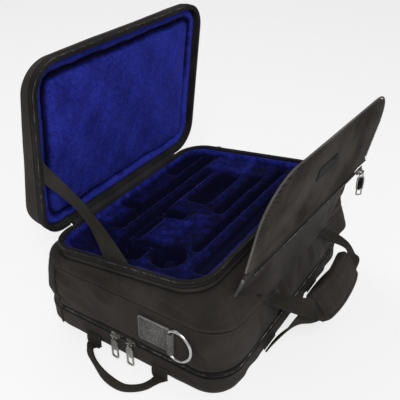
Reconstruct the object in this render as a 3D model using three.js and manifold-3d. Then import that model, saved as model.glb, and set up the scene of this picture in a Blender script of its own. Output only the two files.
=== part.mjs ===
// An oboe case: a hard shell with a moulded plush lining, standing in a soft cover that has a
// sheet-music pocket below, a stiff front flap, a wrap handle, a side loop and two strap rings.
// Lengths are in millimetres. +Z is up, X runs along the lid's hinge and the front faces -Y.
// The origin lies in the middle of the face that the case rests on.
import * as THREE from 'three';
import { mergeVertices } from 'three/addons/utils/BufferGeometryUtils.js';
import Module from 'manifold-3d';

const wasm = await Module();
wasm.setup();

// Clearances and cutting overruns
const seatGap = 0.3;
const overrun = 30;
const weld = 1e-4;

// Soft cover
const coverLength = 402;
const coverWidth = 320;
const coverCorner = 46;
const coverBulge = 2.5;
const bulgeHeight = 84;
const seamHeight = 118;
const seamInset = 1.5;
const seamGroove = 1.6;
const lipWidth = 2;
const shoulderBulgeShare = 0.12;

// Sheet-music pocket under the cover
const pocketHeight = 40;
const pocketWall = 3;
const pocketFloor = 3.5;
const footRound = 8;
const footMidInset = 2.4;
const footMidHeight = 2.3;
const pocketHingeLength = 300;
const pocketHingeThick = 1.6;
const pocketHingeHeight = 22;

// Zipper tapes
const tapeHeight = 4;
const tapeThick = 2.6;
const tapeGap = 0.5;
const tapeProud = 0.8;
const pocketTapeEnd = 118;

// Hard shell and its place in the cover
const shellTilt = 7.4;
const hingeHeight = 142.7;
const hingeInset = 12;
const rimInset = 11;
const rimWidth = 267;
const rimCorner = 44;
const shellDepth = 84;
const shellWall = 6;
const shellFloor = 5;
const shellRound = 10;
const rimShow = 18;
const rimTapeThick = 1.3;
const rimTapeHeight = 8;
const rimGap = 0.5;
const rimHingeLength = 268;
const rimHingeThick = 1;
const rimHingeDrop = 15;

// Lid: deeper at its hinge than at its free edge, which is rounded more; each row of its profile
// is given by its share of the depth, of the rounding at the sides and of that at the free edge
const lidDepth = 46;
const lidTaper = 16;
const lidWall = 5.5;
const lidRound = 11;
const lidFreeRound = 24;
const lidOpening = 77;
const lidProfileShares = [[0.55, 0, 0], [0.77, 0.1, 0.17], [0.92, 0.4, 0.5], [1, 1, 1]];

// The lid's pad: a puffed roll round its edge, a crease and a crowned face
const padRollEdge = 12;
const padRollFace = 9;
const padRollIn = 4;
const padRollWidth = 12;
const padCreaseIn = 17;
const padCrease = 15;
const padFaceIn = 22;
const padFaceEdge = 9;
const padCrownIn = 48;
const padCrown = 6;

// Moulded lining; each cavity is given by its middle, its length, its width and its depth
const liningTop = 4;
const liningWall = 5;
const liningSlope = 3;
const liningFace = 14;
const troughRound = 6;
const cornerLeast = 0.5;
const roundShare = 0.38;
const wellAlong = -128;
const wellAcross = -172;
const wellRadius = 27;
const wellDepth = 46;
const wellRound = 5;
const postRadius = 10;
const postHeight = 30;
const cavityShares = [
  [0.101, -0.197, 0.703, 0.071, 0.286],
  [-0.013, -0.313, 0.632, 0.049, 0.238],
  [-0.363, -0.412, 0.095, 0.21, 0.5],
  [0.178, -0.468, 0.266, 0.15, 0.31],
  [0.171, -0.644, 0.342, 0.067, 0.286],
  [0.088, -0.747, 0.718, 0.056, 0.238],
  [-0.075, -0.101, 0.053, 0.187, 0.143],
  [0.339, -0.082, 0.226, 0.097, 0.143],
  [-0.195, -0.369, 0.168, 0.041, 0.167],
  [-0.078, -0.419, 0.058, 0.165, 0.262],
  [-0.297, -0.464, 0.026, 0.187, 0.167],
  [0, -0.891, 0.763, 0.105, 0.071],
];

// Front riser and flap
const flapInset = 19;
const flapHeight = 125;
const flapThick = 5;
const flapCorner = 62;
const flapLean = 11;
const flapYaw = -2.1;
const flapSlope = 0.9;
const flapHingeHeight = 214;
const flapHingeFront = 177;
const riserThick = 4;
const riserFootLength = 296;
const riserTopGap = 1.3;
const riserEndShare = 0.6;
const riserDrawShare = 0.6;
const pipingRadius = 2;
const pipingGap = 0.7;
const flapTapeHeight = 9;
const flapTapeThick = 1.2;
const flapTapeLength = 326;
const flapTapeDrop = 6;
const flapTapeGap = 0.7;
const patchLength = 54;
const patchHeight = 19;
const patchThick = 0.8;
const patchRise = 66;
const patchAlong = -17;
const pipingStraightShares = [0.02, 0.25, 0.5];
const pipingTopShares = [-0.25, 0, 0.25];

// Zipper sliders and pulls
const sliderLength = 15;
const sliderHeight = 9;
const sliderThick = 3;
const sliderCorner = 3;
const crownRod = 1.1;
const crownRise = 3.9;
const crownPost = 2;
const eyeHole = 1.8;
const eyeWall = 1.5;
const eyeThick = 2.4;
const pullWidth = 12;
const pullLength = 40;
const pullThick = 1.8;
const pullWindow = 13;
const pullRim = 2.2;
const pullCorner = 3.5;
const smallShare = 0.75;
const gripTabLength = 15;
const gripTabWidth = 8;
const gripRadius = 3.8;
const gripLength = 34;
const gripTipRadius = 2.6;
const gripTipLength = 6;
const rearSliderAlong = 15;
const frontSliderAlong = -12;
const flapSliderAlong = 150;
const rimSliderAlong = -60;
const rimPullHang = 16;

// Ring tabs and rings
const tabHeight = 40;
const tabLength = 51;
const tabThick = 3.2;
const tabLow = 65;
const tabBack = -28;
const tabEdgeRound = 3;
const ringWire = 2.2;
const ringOuterHeight = 54;
const ringReach = 34;
const ringBore = 3.2;
const sleeveThick = 2;
const sleeveHeight = 35;
const barShare = 0.82;
const bowShare = 0.3;

// Wrap handle
const anchorSpread = 89;
const anchorWidth = 34;
const anchorHeight = 3;
const anchorThick = 3.9;
const anchorGap = 0.6;
const anchorMiddle = 112;
const strapWidth = 26;
const strapThick = 3;
const gripOut = 56;
const gripHeight = 102;
const wrapLength = 118;
const wrapWidth = 47;
const wrapDepth = 13;
const wrapPlate = 3.5;
const wrapRim = 5.5;
const wrapRound = 3.5;
const wrapTilt = 51;
const entryRun = 5;
const lowerSpread = 74;
const lowerHeight = 7;
const lowerAnchorLow = 14;
const lowerAnchorHeight = 8;
const lowerAnchorThick = 1.8;
const gripRunShares = [0.5, 0.3];
const strapSplit = 1.6;
const upperRunShares = [[0.05, 0.25, 0, 0.05], [0.28, 0.64, 0.1, 0.35], [0.7, 0.93, 0.42, 0.8]];
const lowerRunShares = [[0.04, 0.16, 0.22, 0.03], [0.22, 0.5, 0.58, 0.2], [0.6, 0.84, 0.86, 0.7]];

// Side loop
const loopWidth = 24;
const loopThick = 2.4;
const loopGap = 1.6;
const loopReach = 45;
const loopBack = 60;
const loopFront = -58;
const loopTwist = 58;
const loopShares = [
  [0.14, 1, 0],
  [0.4, 0.94, 0.5],
  [0.78, 0.73, 1],
  [1, 0.48, 0.55],
  [0.95, 0.25, 0.1],
  [0.6, 0.07, 0],
  [0.1, 0, 0],
];
const loopAnchorLength = 28;
const loopAnchorThick = 1.8;
const loopAnchorLow = 13;
const loopAnchorHeight = 8;

// Stay strap between lid and shell
const stayInset = 8.6;
const stayOnLid = 115;
const stayOnShell = 125;
const stayBaseWidth = 45;
const stayLidWidth = 42;
const stayThick = 1.2;
const stayPatchThick = 1.6;
const stayPatchHeight = 8.4;
const staySeatThick = 2.4;
const staySeatWidth = 4;

// How finely round stretches are drawn
const cornerSteps = 7;
const arcSteps = 6;
const floorSteps = 3;
const cavitySteps = 3;
const shoulderSteps = 5;
const wireSides = 8;
const wellSides = 28;
const ringSteps = 40;
const pipingSteps = 72;
const strapSteps = 26;
const handleSteps = 56;
const loopSteps = 49;
const riserSteps = 20;

// Colours
const nylon = { color: 0x3a3634, roughness: 0.85 };
const ribbed = { color: 0x46413d, roughness: 0.8 };
const tapeCloth = { color: 0x191817, roughness: 0.9 };
const plush = { color: 0x1c2480, roughness: 0.95 };
const board = { color: 0x3a3633, roughness: 0.85 };
const webbing = { color: 0x302d2a, roughness: 0.85 };
const pipingCloth = { color: 0x97928c, roughness: 0.6 };
const leather = { color: 0x5a5856, roughness: 0.6 };
const steel = { color: 0xd0d0d2, roughness: 0.2, metalness: 1 };
const gunmetal = { color: 0x8a837b, roughness: 0.35, metalness: 1 };
const rubber = { color: 0x151515, roughness: 0.7 };

const degree = Math.PI / 180;
const halfTurn = Math.PI;
const quarterTurn = halfTurn / 2;

// Values that follow from the sizes above
const coverBack = coverWidth / 2;
const tapeFoot = pocketHeight + seatGap;
const tapeMiddle = tapeFoot + tapeHeight + tapeGap / 2;
const coverFoot = tapeFoot + 2 * tapeHeight + tapeGap + seatGap;
const hingeY = coverBack - hingeInset;
const rimLength = coverLength - 2 * rimInset;
const flapLength = coverLength - 2 * flapInset;
const loopStart = coverLength / 2 + loopGap;
const shellLength = rimLength - 2 * (rimTapeThick + seatGap);
const shellWidth = rimWidth - 2 * (rimTapeThick + seatGap);
const shellCorner = rimCorner - rimTapeThick - seatGap;
const rimMiddle = -rimWidth / 2;

const caseFrame = new THREE.Group();
caseFrame.position.set(0, hingeY, hingeHeight);
caseFrame.rotation.x = -shellTilt * degree;
const lidFrame = new THREE.Group();
lidFrame.rotation.x = -lidOpening * degree;
caseFrame.add(lidFrame);
caseFrame.updateMatrixWorld(true);
const flapFrame = new THREE.Group();
flapFrame.position.set(0, -flapHingeFront, flapHingeHeight);
flapFrame.rotation.set(flapLean * degree, flapSlope * degree, flapYaw * degree, 'ZYX');
flapFrame.updateMatrixWorld(true);
const model = new THREE.Group();
model.add(caseFrame, flapFrame);

function at(x, y, z) {
  return new THREE.Vector3(x, y, z);
}

function addPiece(name, geometry, look, frame = model) {
  const mesh = new THREE.Mesh(geometry, new THREE.MeshStandardMaterial(look));
  mesh.name = name;
  frame.add(mesh);
  return mesh;
}

// Stands a piece on a surface: its X, Y and Z laid along the given directions
function stand(mesh, along, across, out, place) {
  mesh.matrixAutoUpdate = false;
  mesh.matrix.makeBasis(along, across, out).setPosition(place);
}

// A manifold solid from a closed geometry
function toSolid(geometry) {
  const bare = geometry.clone();
  for (const attribute of Object.keys(bare.attributes)) {
    if (attribute !== 'position') bare.deleteAttribute(attribute);
  }
  const merged = mergeVertices(bare, weld);
  const vertProperties = new Float32Array(merged.attributes.position.array);
  const corners = [...merged.index.array];
  const whole = (face) => new Set(corners.slice(3 * face, 3 * face + 3)).size === 3;
  const triVerts = new Uint32Array(corners.filter((corner, index) => whole(Math.floor(index / 3))));
  return new wasm.Manifold(new wasm.Mesh({ numProp: 3, vertProperties, triVerts }));
}

function toGeometry(solid) {
  const mesh = solid.getMesh();
  const geometry = new THREE.BufferGeometry();
  const positions = new THREE.Float32BufferAttribute(new Float32Array(mesh.vertProperties), 3);
  geometry.setAttribute('position', positions);
  geometry.setIndex([...mesh.triVerts]);
  geometry.computeVertexNormals();
  return geometry;
}

function cutFrom(body, ...tools) {
  let solid = toSolid(body);
  for (const tool of tools) solid = solid.subtract(toSolid(tool));
  return toGeometry(solid);
}

function joinAll(...bodies) {
  let solid = toSolid(bodies[0]);
  for (const body of bodies.slice(1)) solid = solid.add(toSolid(body));
  return toGeometry(solid);
}

function box(width, depth, height, x, y, z) {
  return new THREE.BoxGeometry(width, depth, height).translate(x, y, z);
}

// A round bar along X
function barAlong(length, radius, sides = 2 * wireSides) {
  return new THREE.CylinderGeometry(radius, radius, length, sides).rotateZ(quarterTurn);
}

// Newell's normal of a closed ring of points
function ringNormal(ring) {
  const normal = at(0, 0, 0);
  ring.forEach((point, index) => {
    const next = ring[(index + 1) % ring.length];
    normal.x += (point.y - next.y) * (point.z + next.z);
    normal.y += (point.z - next.z) * (point.x + next.x);
    normal.z += (point.x - next.x) * (point.y + next.y);
  });
  return normal.normalize();
}

function capFaces(ring) {
  const normal = ringNormal(ring);
  const aside = Math.abs(normal.z) > Math.SQRT1_2 ? at(1, 0, 0) : at(0, 0, 1);
  const across = at(0, 0, 0).crossVectors(aside, normal).normalize();
  const along = at(0, 0, 0).crossVectors(normal, across);
  const outline = ring.map((point) => new THREE.Vector2(point.dot(across), point.dot(along)));
  return THREE.ShapeUtils.triangulateShape(outline, []);
}

// A closed skin over rings of equal point counts, capped at both ends
function loft(rings) {
  const count = rings[0].length;
  const middle = (ring) => ring.reduce((sum, point) => sum.add(point), at(0, 0, 0)).divideScalar(count);
  const travel = middle(rings[1]).sub(middle(rings[0]));
  const flip = ringNormal(rings[0]).dot(travel) < 0;
  const ordered = flip ? rings.map((ring) => [...ring].reverse()) : rings;
  const positions = ordered.flat().flatMap((point) => [point.x, point.y, point.z]);
  const faces = [];
  for (let row = 0; row + 1 < ordered.length; row++) {
    for (let column = 0; column < count; column++) {
      const next = (column + 1) % count;
      const [a, b] = [row * count + column, row * count + next];
      const [c, d] = [b + count, a + count];
      faces.push(a, b, c, a, c, d);
    }
  }
  const last = (ordered.length - 1) * count;
  for (const [a, b, c] of capFaces(ordered[0])) faces.push(c, b, a);
  for (const [a, b, c] of capFaces(ordered[ordered.length - 1])) faces.push(last + a, last + b, last + c);
  const geometry = new THREE.BufferGeometry();
  geometry.setAttribute('position', new THREE.Float32BufferAttribute(positions, 3));
  geometry.setIndex(faces);
  geometry.computeVertexNormals();
  return geometry;
}

// A rounded rectangle, level at a height
function cornerRing(length, width, corner, height, steps, middleX = 0, middleY = 0) {
  const points = [];
  for (let quarter = 0; quarter < 4; quarter++) {
    const sideX = quarter === 0 || quarter === 3 ? 1 : -1;
    const sideY = quarter < 2 ? 1 : -1;
    const centreX = middleX + sideX * (length / 2 - corner);
    const centreY = middleY + sideY * (width / 2 - corner);
    for (let step = 0; step <= steps; step++) {
      const angle = quarterTurn * (quarter + step / steps);
      points.push(at(centreX + corner * Math.cos(angle), centreY + corner * Math.sin(angle), height));
    }
  }
  return points;
}

function insetRing(length, width, corner, inset, height, middleY = 0) {
  const round = Math.max(corner - inset, cornerLeast);
  return cornerRing(length - 2 * inset, width - 2 * inset, round, height, cornerSteps, 0, middleY);
}

// A ring-shaped wall: a rounded block less a smaller one
function wallRing(length, width, corner, thick, low, high, middleY = 0) {
  const ring = (inset, height) => insetRing(length, width, corner, inset, height, middleY);
  const outer = loft([ring(0, low), ring(0, high)]);
  return cutFrom(outer, loft([ring(thick, low - overrun), ring(thick, high + overrun)]));
}

// A flat strap along a smooth path; turnAt gives its width direction at a share of the path
function strapAlong(points, turnAt, width, thick, steps = strapSteps) {
  const path = new THREE.CatmullRomCurve3(points);
  const rings = [];
  for (let step = 0; step <= steps; step++) {
    const share = step / steps;
    const centre = path.getPoint(share);
    const tangent = path.getTangent(share);
    const across = turnAt(share, tangent);
    across.addScaledVector(tangent, -across.dot(tangent)).normalize();
    const normal = at(0, 0, 0).crossVectors(tangent, across);
    const corner = (sideWidth, sideThick) => centre.clone()
      .addScaledVector(across, sideWidth * width / 2)
      .addScaledVector(normal, sideThick * thick / 2);
    rings.push([corner(-1, -1), corner(1, -1), corner(1, 1), corner(-1, 1)]);
  }
  return loft(rings);
}

// A round cord along a path, with flat ends
function cordAlong(points, radius, steps) {
  const section = new THREE.Shape();
  section.absarc(0, 0, radius, 0, 2 * halfTurn);
  const path = new THREE.CatmullRomCurve3(points);
  return new THREE.ExtrudeGeometry(section, { steps, extrudePath: path, curveSegments: wireSides / 2 });
}

// Outline of the soft cover at a height, inset from its full size
function coverRing(inset, height) {
  return insetRing(coverLength, coverWidth, coverCorner, inset, height);
}

// How far the cover's wall stands out at a height between its foot and its seam
function wallBulge(height) {
  const above = (seamHeight - seamGroove - height) / (seamHeight - seamGroove - bulgeHeight);
  const below = (height - coverFoot) / (bulgeHeight - coverFoot);
  return coverBulge * Math.min(above, below);
}

// The tilted outline that fits round the hard shell, below its rim
function openingRing(inset, below) {
  const ring = insetRing(shellLength, shellWidth, shellCorner, inset, -below, rimMiddle);
  return ring.map((point) => point.applyMatrix4(caseFrame.matrixWorld));
}

// A point of the rounded shoulder between the seam and the opening, and the way out of it
function shoulderPoint(seamPoint, edgePoint, share) {
  const chord = edgePoint.clone().sub(seamPoint);
  const level = Math.hypot(chord.x, chord.y);
  const outward = at(-chord.x * chord.z / level, -chord.y * chord.z / level, level).normalize();
  const slope = shoulderBulgeShare * halfTurn * Math.cos(halfTurn * share);
  const out = outward.clone().addScaledVector(chord.clone().normalize(), -slope).normalize();
  const rise = shoulderBulgeShare * chord.length() * Math.sin(halfTurn * share);
  return { place: seamPoint.clone().addScaledVector(chord, share).addScaledVector(outward, rise), out };
}

function pocketTray() {
  const outer = loft([
    coverRing(footRound, 0),
    coverRing(footMidInset, footMidHeight),
    coverRing(0, footRound),
    coverRing(0, pocketHeight),
  ]);
  const inner = loft([
    coverRing(footRound + pocketWall, pocketFloor),
    coverRing(pocketWall, footRound + pocketFloor),
    coverRing(pocketWall, pocketHeight + overrun),
  ]);
  return cutFrom(outer, inner);
}

// One half of the pocket's zipper: a band round three sides, open along the back
function pocketTape(low) {
  const length = coverLength + 2 * tapeProud;
  const width = coverWidth + 2 * tapeProud;
  const band = wallRing(length, width, coverCorner + tapeProud, tapeThick, low, low + tapeHeight);
  const back = box(length + overrun, coverWidth, tapeHeight + overrun, 0, pocketTapeEnd + coverBack, low);
  return cutFrom(band, back);
}

// The strip along the back that the pocket folds on
function pocketHinge() {
  const y = coverBack + seatGap + pocketHingeThick / 2;
  const z = tapeFoot + tapeHeight - pocketHingeHeight / 2;
  return box(pocketHingeLength, pocketHingeThick, pocketHingeHeight, 0, y, z);
}

// The pocket's back band, between the ends of the zipper
function pocketBack() {
  const band = wallRing(coverLength, coverWidth, coverCorner, tapeThick, tapeFoot, coverFoot - seatGap);
  const frontY = pocketTapeEnd + seatGap - coverBack;
  return cutFrom(band, box(coverLength + overrun, coverWidth, coverFoot + overrun, 0, frontY, tapeFoot));
}

function coverBody() {
  const seam = coverRing(0, seamHeight + seamGroove);
  const edge = openingRing(-lipWidth - seatGap, rimShow);
  const shoulder = [];
  for (let step = 0; step <= shoulderSteps; step++) {
    shoulder.push(seam.map((point, index) => shoulderPoint(point, edge[index], step / shoulderSteps).place));
  }
  const outer = loft([
    coverRing(0, coverFoot),
    coverRing(-coverBulge, bulgeHeight),
    coverRing(0, seamHeight - seamGroove),
    coverRing(seamInset, seamHeight),
    ...shoulder,
  ]);
  const nest = loft([
    openingRing(shellRound - seatGap, shellDepth + seatGap),
    openingRing(-seatGap, shellDepth - shellRound),
    openingRing(-seatGap, -overrun),
  ]);
  return cutFrom(outer, nest);
}

function shellRing(inset, height) {
  return insetRing(shellLength, shellWidth, shellCorner, inset, height, rimMiddle);
}

function shellBase() {
  const outer = loft([
    shellRing(shellRound, -shellDepth),
    shellRing(0, shellRound - shellDepth),
    shellRing(0, -rimGap),
  ]);
  const inner = loft([
    shellRing(shellRound + shellWall, shellFloor - shellDepth),
    shellRing(shellWall, shellFloor + shellRound - shellDepth),
    shellRing(shellWall, overrun),
  ]);
  return cutFrom(outer, inner);
}

// One half of the rim zipper: a tape round the front and both ends of a shell
function rimTape(low) {
  const band = wallRing(rimLength, rimWidth, rimCorner, rimTapeThick, low, low + rimTapeHeight, rimMiddle);
  return cutFrom(band, box(rimHingeLength, rimWidth, rimTapeHeight + overrun, 0, 0, low));
}

// Tape along the back edge that the lid folds on, in the gap that the zipper tapes leave
function rimHinge() {
  const y = -rimTapeThick + rimHingeThick / 2;
  const length = rimHingeLength - 2 * seatGap;
  return box(length, rimHingeThick, rimHingeDrop, 0, y, -rimGap - rimHingeDrop / 2);
}

// The lid's tapering rows, from its side wall to its back, set in from its outside by a wall
function lidRows(wall) {
  return lidProfileShares.map(([depthShare, sideShare, freeShare]) => {
    const side = wall + sideShare * lidRound;
    const free = wall + freeShare * lidFreeRound;
    const width = shellWidth - side - free;
    const corner = Math.max(shellCorner - side, cornerLeast);
    const middle = rimMiddle + (free - side) / 2;
    const ring = cornerRing(shellLength - 2 * side, width, corner, 0, cornerSteps, 0, middle);
    return ring.map((point) => {
      const depth = lidDepth + lidTaper * point.y / rimWidth;
      return point.setZ(depthShare * (depth - wall));
    });
  });
}

function lidShell() {
  const outer = loft([shellRing(0, rimGap), ...lidRows(0)]);
  const inner = loft([shellRing(lidWall, -overrun), ...lidRows(lidWall)]);
  return cutFrom(outer, inner);
}

// The lid's plush pad, from its back to its crowned face
function lidLining() {
  const wall = lidWall + seatGap;
  return loft([
    ...lidRows(wall).slice(1).reverse(),
    shellRing(wall, padRollEdge),
    shellRing(wall + padRollIn, padRollFace),
    shellRing(wall + padRollWidth, padRollFace),
    shellRing(wall + padCreaseIn, padCrease),
    shellRing(wall + padFaceIn, padFaceEdge),
    shellRing(wall + padCrownIn, padCrown),
  ]);
}

// A cavity with rounded corners and a rounded floor, sunk from the lining's face
function cavity([xShare, yShare, lengthShare, widthShare, depthShare]) {
  const length = lengthShare * rimLength;
  const width = widthShare * rimWidth;
  const depth = depthShare * shellDepth;
  const radius = Math.min(troughRound, roundShare * width, roundShare * length, roundShare * depth);
  const outline = (inset, height) => {
    const corner = Math.max(radius - inset, cornerLeast);
    const [x, y] = [xShare * rimLength, yShare * rimWidth];
    return cornerRing(length - 2 * inset, width - 2 * inset, corner, height, cavitySteps, x, y);
  };
  const rings = [];
  for (let step = 0; step <= floorSteps; step++) {
    const angle = quarterTurn * step / floorSteps;
    const height = radius * (1 - Math.cos(angle)) - liningFace - depth;
    rings.push(outline(radius * (1 - Math.sin(angle)), height));
  }
  rings.push(outline(0, overrun));
  return loft(rings);
}

// The bell's round well, less the padded post that the bell stands over
function bellWell() {
  const floor = -liningFace - wellDepth;
  const bevel = postRadius * (1 - Math.SQRT1_2);
  const outline = [
    [0, floor + postHeight],
    [postRadius * Math.SQRT1_2, floor + postHeight - bevel],
    [postRadius, floor + postHeight - postRadius],
    [postRadius, floor + wellRound],
    [postRadius + wellRound, floor],
    [wellRadius - wellRound, floor],
    [wellRadius, floor + wellRound],
    [wellRadius, overrun],
    [0, overrun],
  ].map(([radius, height]) => new THREE.Vector2(radius, height));
  const well = new THREE.LatheGeometry(outline, wellSides);
  return well.rotateX(quarterTurn).translate(wellAlong, wellAcross, 0);
}

function mouldedLining() {
  const wall = shellWall + seatGap;
  const low = shellFloor + seatGap - shellDepth;
  const block = loft([
    shellRing(wall + shellRound, low),
    shellRing(wall, low + shellRound),
    shellRing(wall, -liningTop),
  ]);
  const hollow = loft([
    shellRing(wall + liningWall + liningSlope, -liningFace),
    shellRing(wall + liningWall, overrun - liningTop),
  ]);
  return cutFrom(block, hollow, bellWell(), ...cavityShares.map(cavity));
}

// The stay: a strap whose ends are cut along the two rims that it joins
function stayEdge(frame, middle, width, height) {
  const x = stayInset - rimLength / 2;
  const half = width / 2;
  const corner = (sideX, sideY) => at(x + sideX * stayThick / 2, sideY * half - middle, height);
  const ring = [corner(-1, -1), corner(1, -1), corner(1, 1), corner(-1, 1)];
  return ring.map((point) => point.applyMatrix4(frame.matrixWorld));
}

function stayStrap() {
  const low = stayEdge(caseFrame, stayOnShell, stayBaseWidth, staySeatThick - liningTop + 2 * seatGap);
  const high = stayEdge(lidFrame, stayOnLid, stayLidWidth, rimGap);
  return loft([low, high]);
}

// The stay's sewn ends: one on the lining's edge, one inside the lid's wall
function staySeat() {
  const x = shellWall + seatGap + liningWall / 2 - shellLength / 2;
  const z = seatGap - liningTop + staySeatThick / 2;
  return box(staySeatWidth, stayBaseWidth, staySeatThick, x, -stayOnShell, z);
}

function stayPatch() {
  const x = lidWall + seatGap + stayPatchThick / 2 - shellLength / 2;
  const z = rimGap + seatGap + stayPatchHeight / 2;
  return box(stayPatchThick, stayLidWidth, stayPatchHeight, x, -stayOnLid, z);
}

// One section of the front riser; its ends are drawn back onto the cover's shoulder
const frontSeam = at(0, -coverBack, seamHeight + seamGroove);
const frontEdge = at(0, rimMiddle - shellWidth / 2 - lipWidth - seatGap, -rimShow);
frontEdge.applyMatrix4(caseFrame.matrixWorld);

function riserStation(share) {
  const drawn = THREE.MathUtils.smoothstep(Math.abs(share), riserDrawShare, 1);
  const { place, out } = shoulderPoint(frontSeam, frontEdge, drawn * riserEndShare);
  const low = place.addScaledVector(out, seatGap + riserThick / 2).setX(share * riserFootLength / 2);
  const top = at(share * flapLength / 2, 0, 0).applyMatrix4(flapFrame.matrixWorld);
  top.z -= flapThick / 2 + riserTopGap;
  const along = top.clone().sub(low);
  const normal = at(0, -along.z, along.y).normalize().multiplyScalar(riserThick / 2);
  return [low.clone().add(normal), low.clone().sub(normal), top.clone().sub(normal), top.clone().add(normal)];
}

function riser() {
  const rings = [];
  for (let step = 0; step <= riserSteps; step++) rings.push(riserStation(2 * step / riserSteps - 1));
  return loft(rings);
}

// Piping down one end of the riser
function riserPiping(side) {
  const [lowOut, lowIn, topIn, topOut] = riserStation(side);
  const reach = pipingRadius + pipingGap;
  const low = lowOut.add(lowIn).divideScalar(2).add(at(side * reach, 0, 0));
  const top = topIn.add(topOut).divideScalar(2).add(at(side * reach, 0, -reach));
  low.lerp(top, reach / low.distanceTo(top));
  return cordAlong([low, low.clone().add(top).divideScalar(2), top], pipingRadius, arcSteps);
}

// Outline of the flap in its own plane, from its fold up and round, inset from its edge
function flapOutline(inset) {
  const half = flapLength / 2 - inset;
  const top = flapHeight - inset;
  const corner = flapCorner - inset;
  const points = [];
  for (const side of [-1, 1]) {
    for (let step = 0; step <= cornerSteps; step++) {
      const turn = side < 0 ? step / cornerSteps : 1 - step / cornerSteps;
      const angle = halfTurn - quarterTurn * turn;
      const x = half - corner - corner * Math.cos(angle);
      points.push(new THREE.Vector2(side * x, top - corner + corner * Math.sin(angle)));
    }
  }
  return points;
}

function flapPanel() {
  const inset = 2 * pipingRadius + seatGap;
  const half = flapLength / 2 - inset;
  const outline = [new THREE.Vector2(-half, 0), ...flapOutline(inset), new THREE.Vector2(half, 0)];
  const plate = new THREE.ExtrudeGeometry(new THREE.Shape(outline), { depth: flapThick, bevelEnabled: false });
  plate.rotateX(quarterTurn).translate(0, flapThick / 2, 0);
  return joinAll(plate, barAlong(2 * half, flapThick / 2));
}

function flapPiping() {
  const half = flapLength / 2 - pipingRadius;
  const side = (x, shares) => shares.map((share) => at(x, 0, flapHeight * share));
  const bend = flapOutline(pipingRadius).map((point) => at(point.x, 0, point.y));
  const top = pipingTopShares.map((share) => at(share * flapLength, 0, flapHeight - pipingRadius));
  const middle = bend.length / 2;
  const left = [...side(-half, pipingStraightShares), ...bend.slice(0, middle)];
  const right = [...bend.slice(middle), ...side(half, pipingStraightShares).reverse()];
  return cordAlong([...left, ...top, ...right], pipingRadius, pipingSteps);
}

function labelPatch() {
  const y = -flapThick / 2 - seatGap - patchThick / 2;
  return box(patchLength, patchThick, patchHeight, patchAlong, y, patchRise + patchHeight / 2);
}

// Directions on the riser's outer face, and a point on it below the flap's fold
const [footOut, footIn, foldIn, foldOut] = riserStation(0);
const sideways = at(1, 0, 0);
const flapAlong = at(0, 0, 0).setFromMatrixColumn(flapFrame.matrixWorld, 0);
const riserOut = footOut.clone().sub(footIn);
riserOut.addScaledVector(flapAlong, -riserOut.dot(flapAlong)).normalize();
const riserUp = riserOut.clone().cross(flapAlong);
const flapTrack = foldOut.clone().addScaledVector(riserUp, -flapTapeDrop).addScaledVector(riserOut, flapTapeGap);

// Slider: a plate with a crown rod; X lies along the track, Y across it and Z away from it
function slider() {
  const plate = loft([
    cornerRing(sliderLength, sliderHeight, sliderCorner, 0, cavitySteps),
    cornerRing(sliderLength, sliderHeight, sliderCorner, sliderThick, cavitySteps),
  ]);
  const rodHeight = sliderThick + crownRise;
  const reach = sliderLength / 2 - crownPost;
  const postHeight = crownRise + sliderThick / 2;
  const post = (side) =>
    box(crownPost, 2 * crownRod, postHeight, side * reach, 0, rodHeight - postHeight / 2);
  return joinAll(plate, barAlong(2 * reach, crownRod, wireSides).translate(0, 0, rodHeight), post(-1), post(1));
}

// The eye of a pull, round the crown's rod
function pullEye() {
  const outline = new THREE.Shape();
  outline.absarc(0, 0, eyeHole + eyeWall, 0, 2 * halfTurn);
  outline.holes.push(new THREE.Path().absarc(0, 0, eyeHole, 0, 2 * halfTurn));
  const eye = new THREE.ExtrudeGeometry(outline, { depth: eyeThick, bevelEnabled: false, curveSegments: wireSides });
  return eye.translate(0, 0, -eyeThick / 2).rotateY(quarterTurn);
}

// Pull: an eye, a plate and an open end; it swings about X
function pull() {
  const top = -eyeHole - eyeWall / 2;
  const half = pullWidth / 2;
  const end = pullCorner - pullLength;
  const shape = new THREE.Shape();
  shape.moveTo(eyeThick / 2, top);
  shape.lineTo(half, top - half);
  shape.absarc(half - pullCorner, end, pullCorner, 0, -quarterTurn, true);
  shape.absarc(pullCorner - half, end, pullCorner, -quarterTurn, -halfTurn, true);
  shape.lineTo(-half, top - half);
  shape.lineTo(-eyeThick / 2, top);
  const side = half - pullRim;
  const low = pullRim - pullLength;
  const window = new THREE.Path();
  window.moveTo(side, low + pullRim);
  window.lineTo(side, low + pullWindow);
  window.lineTo(-side, low + pullWindow);
  window.lineTo(-side, low + pullRim);
  window.lineTo(pullRim - side, low);
  window.lineTo(side - pullRim, low);
  shape.holes.push(window);
  const plate = new THREE.ExtrudeGeometry(shape, { depth: pullThick, bevelEnabled: false, curveSegments: arcSteps });
  return joinAll(pullEye(), plate.translate(0, 0, -pullThick / 2));
}

// The flap's pull: an eye on a metal tab that carries a round rubber grip with a metal tip
function gripTab() {
  const top = -eyeHole - eyeWall / 2;
  const length = gripTabLength + top;
  return joinAll(pullEye(), box(gripTabWidth, length, pullThick, 0, top - length / 2, 0));
}

function gripSleeve() {
  const y = -gripTabLength - seatGap - gripLength / 2;
  return new THREE.CapsuleGeometry(gripRadius, gripLength - 2 * gripRadius, floorSteps, 2 * wireSides).translate(0, y, 0);
}

function gripTip() {
  const y = -gripTabLength - gripLength - 2 * seatGap - gripTipLength / 2;
  return new THREE.CylinderGeometry(gripTipRadius, gripTipRadius, gripTipLength, 2 * wireSides).translate(0, y, 0);
}

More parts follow.
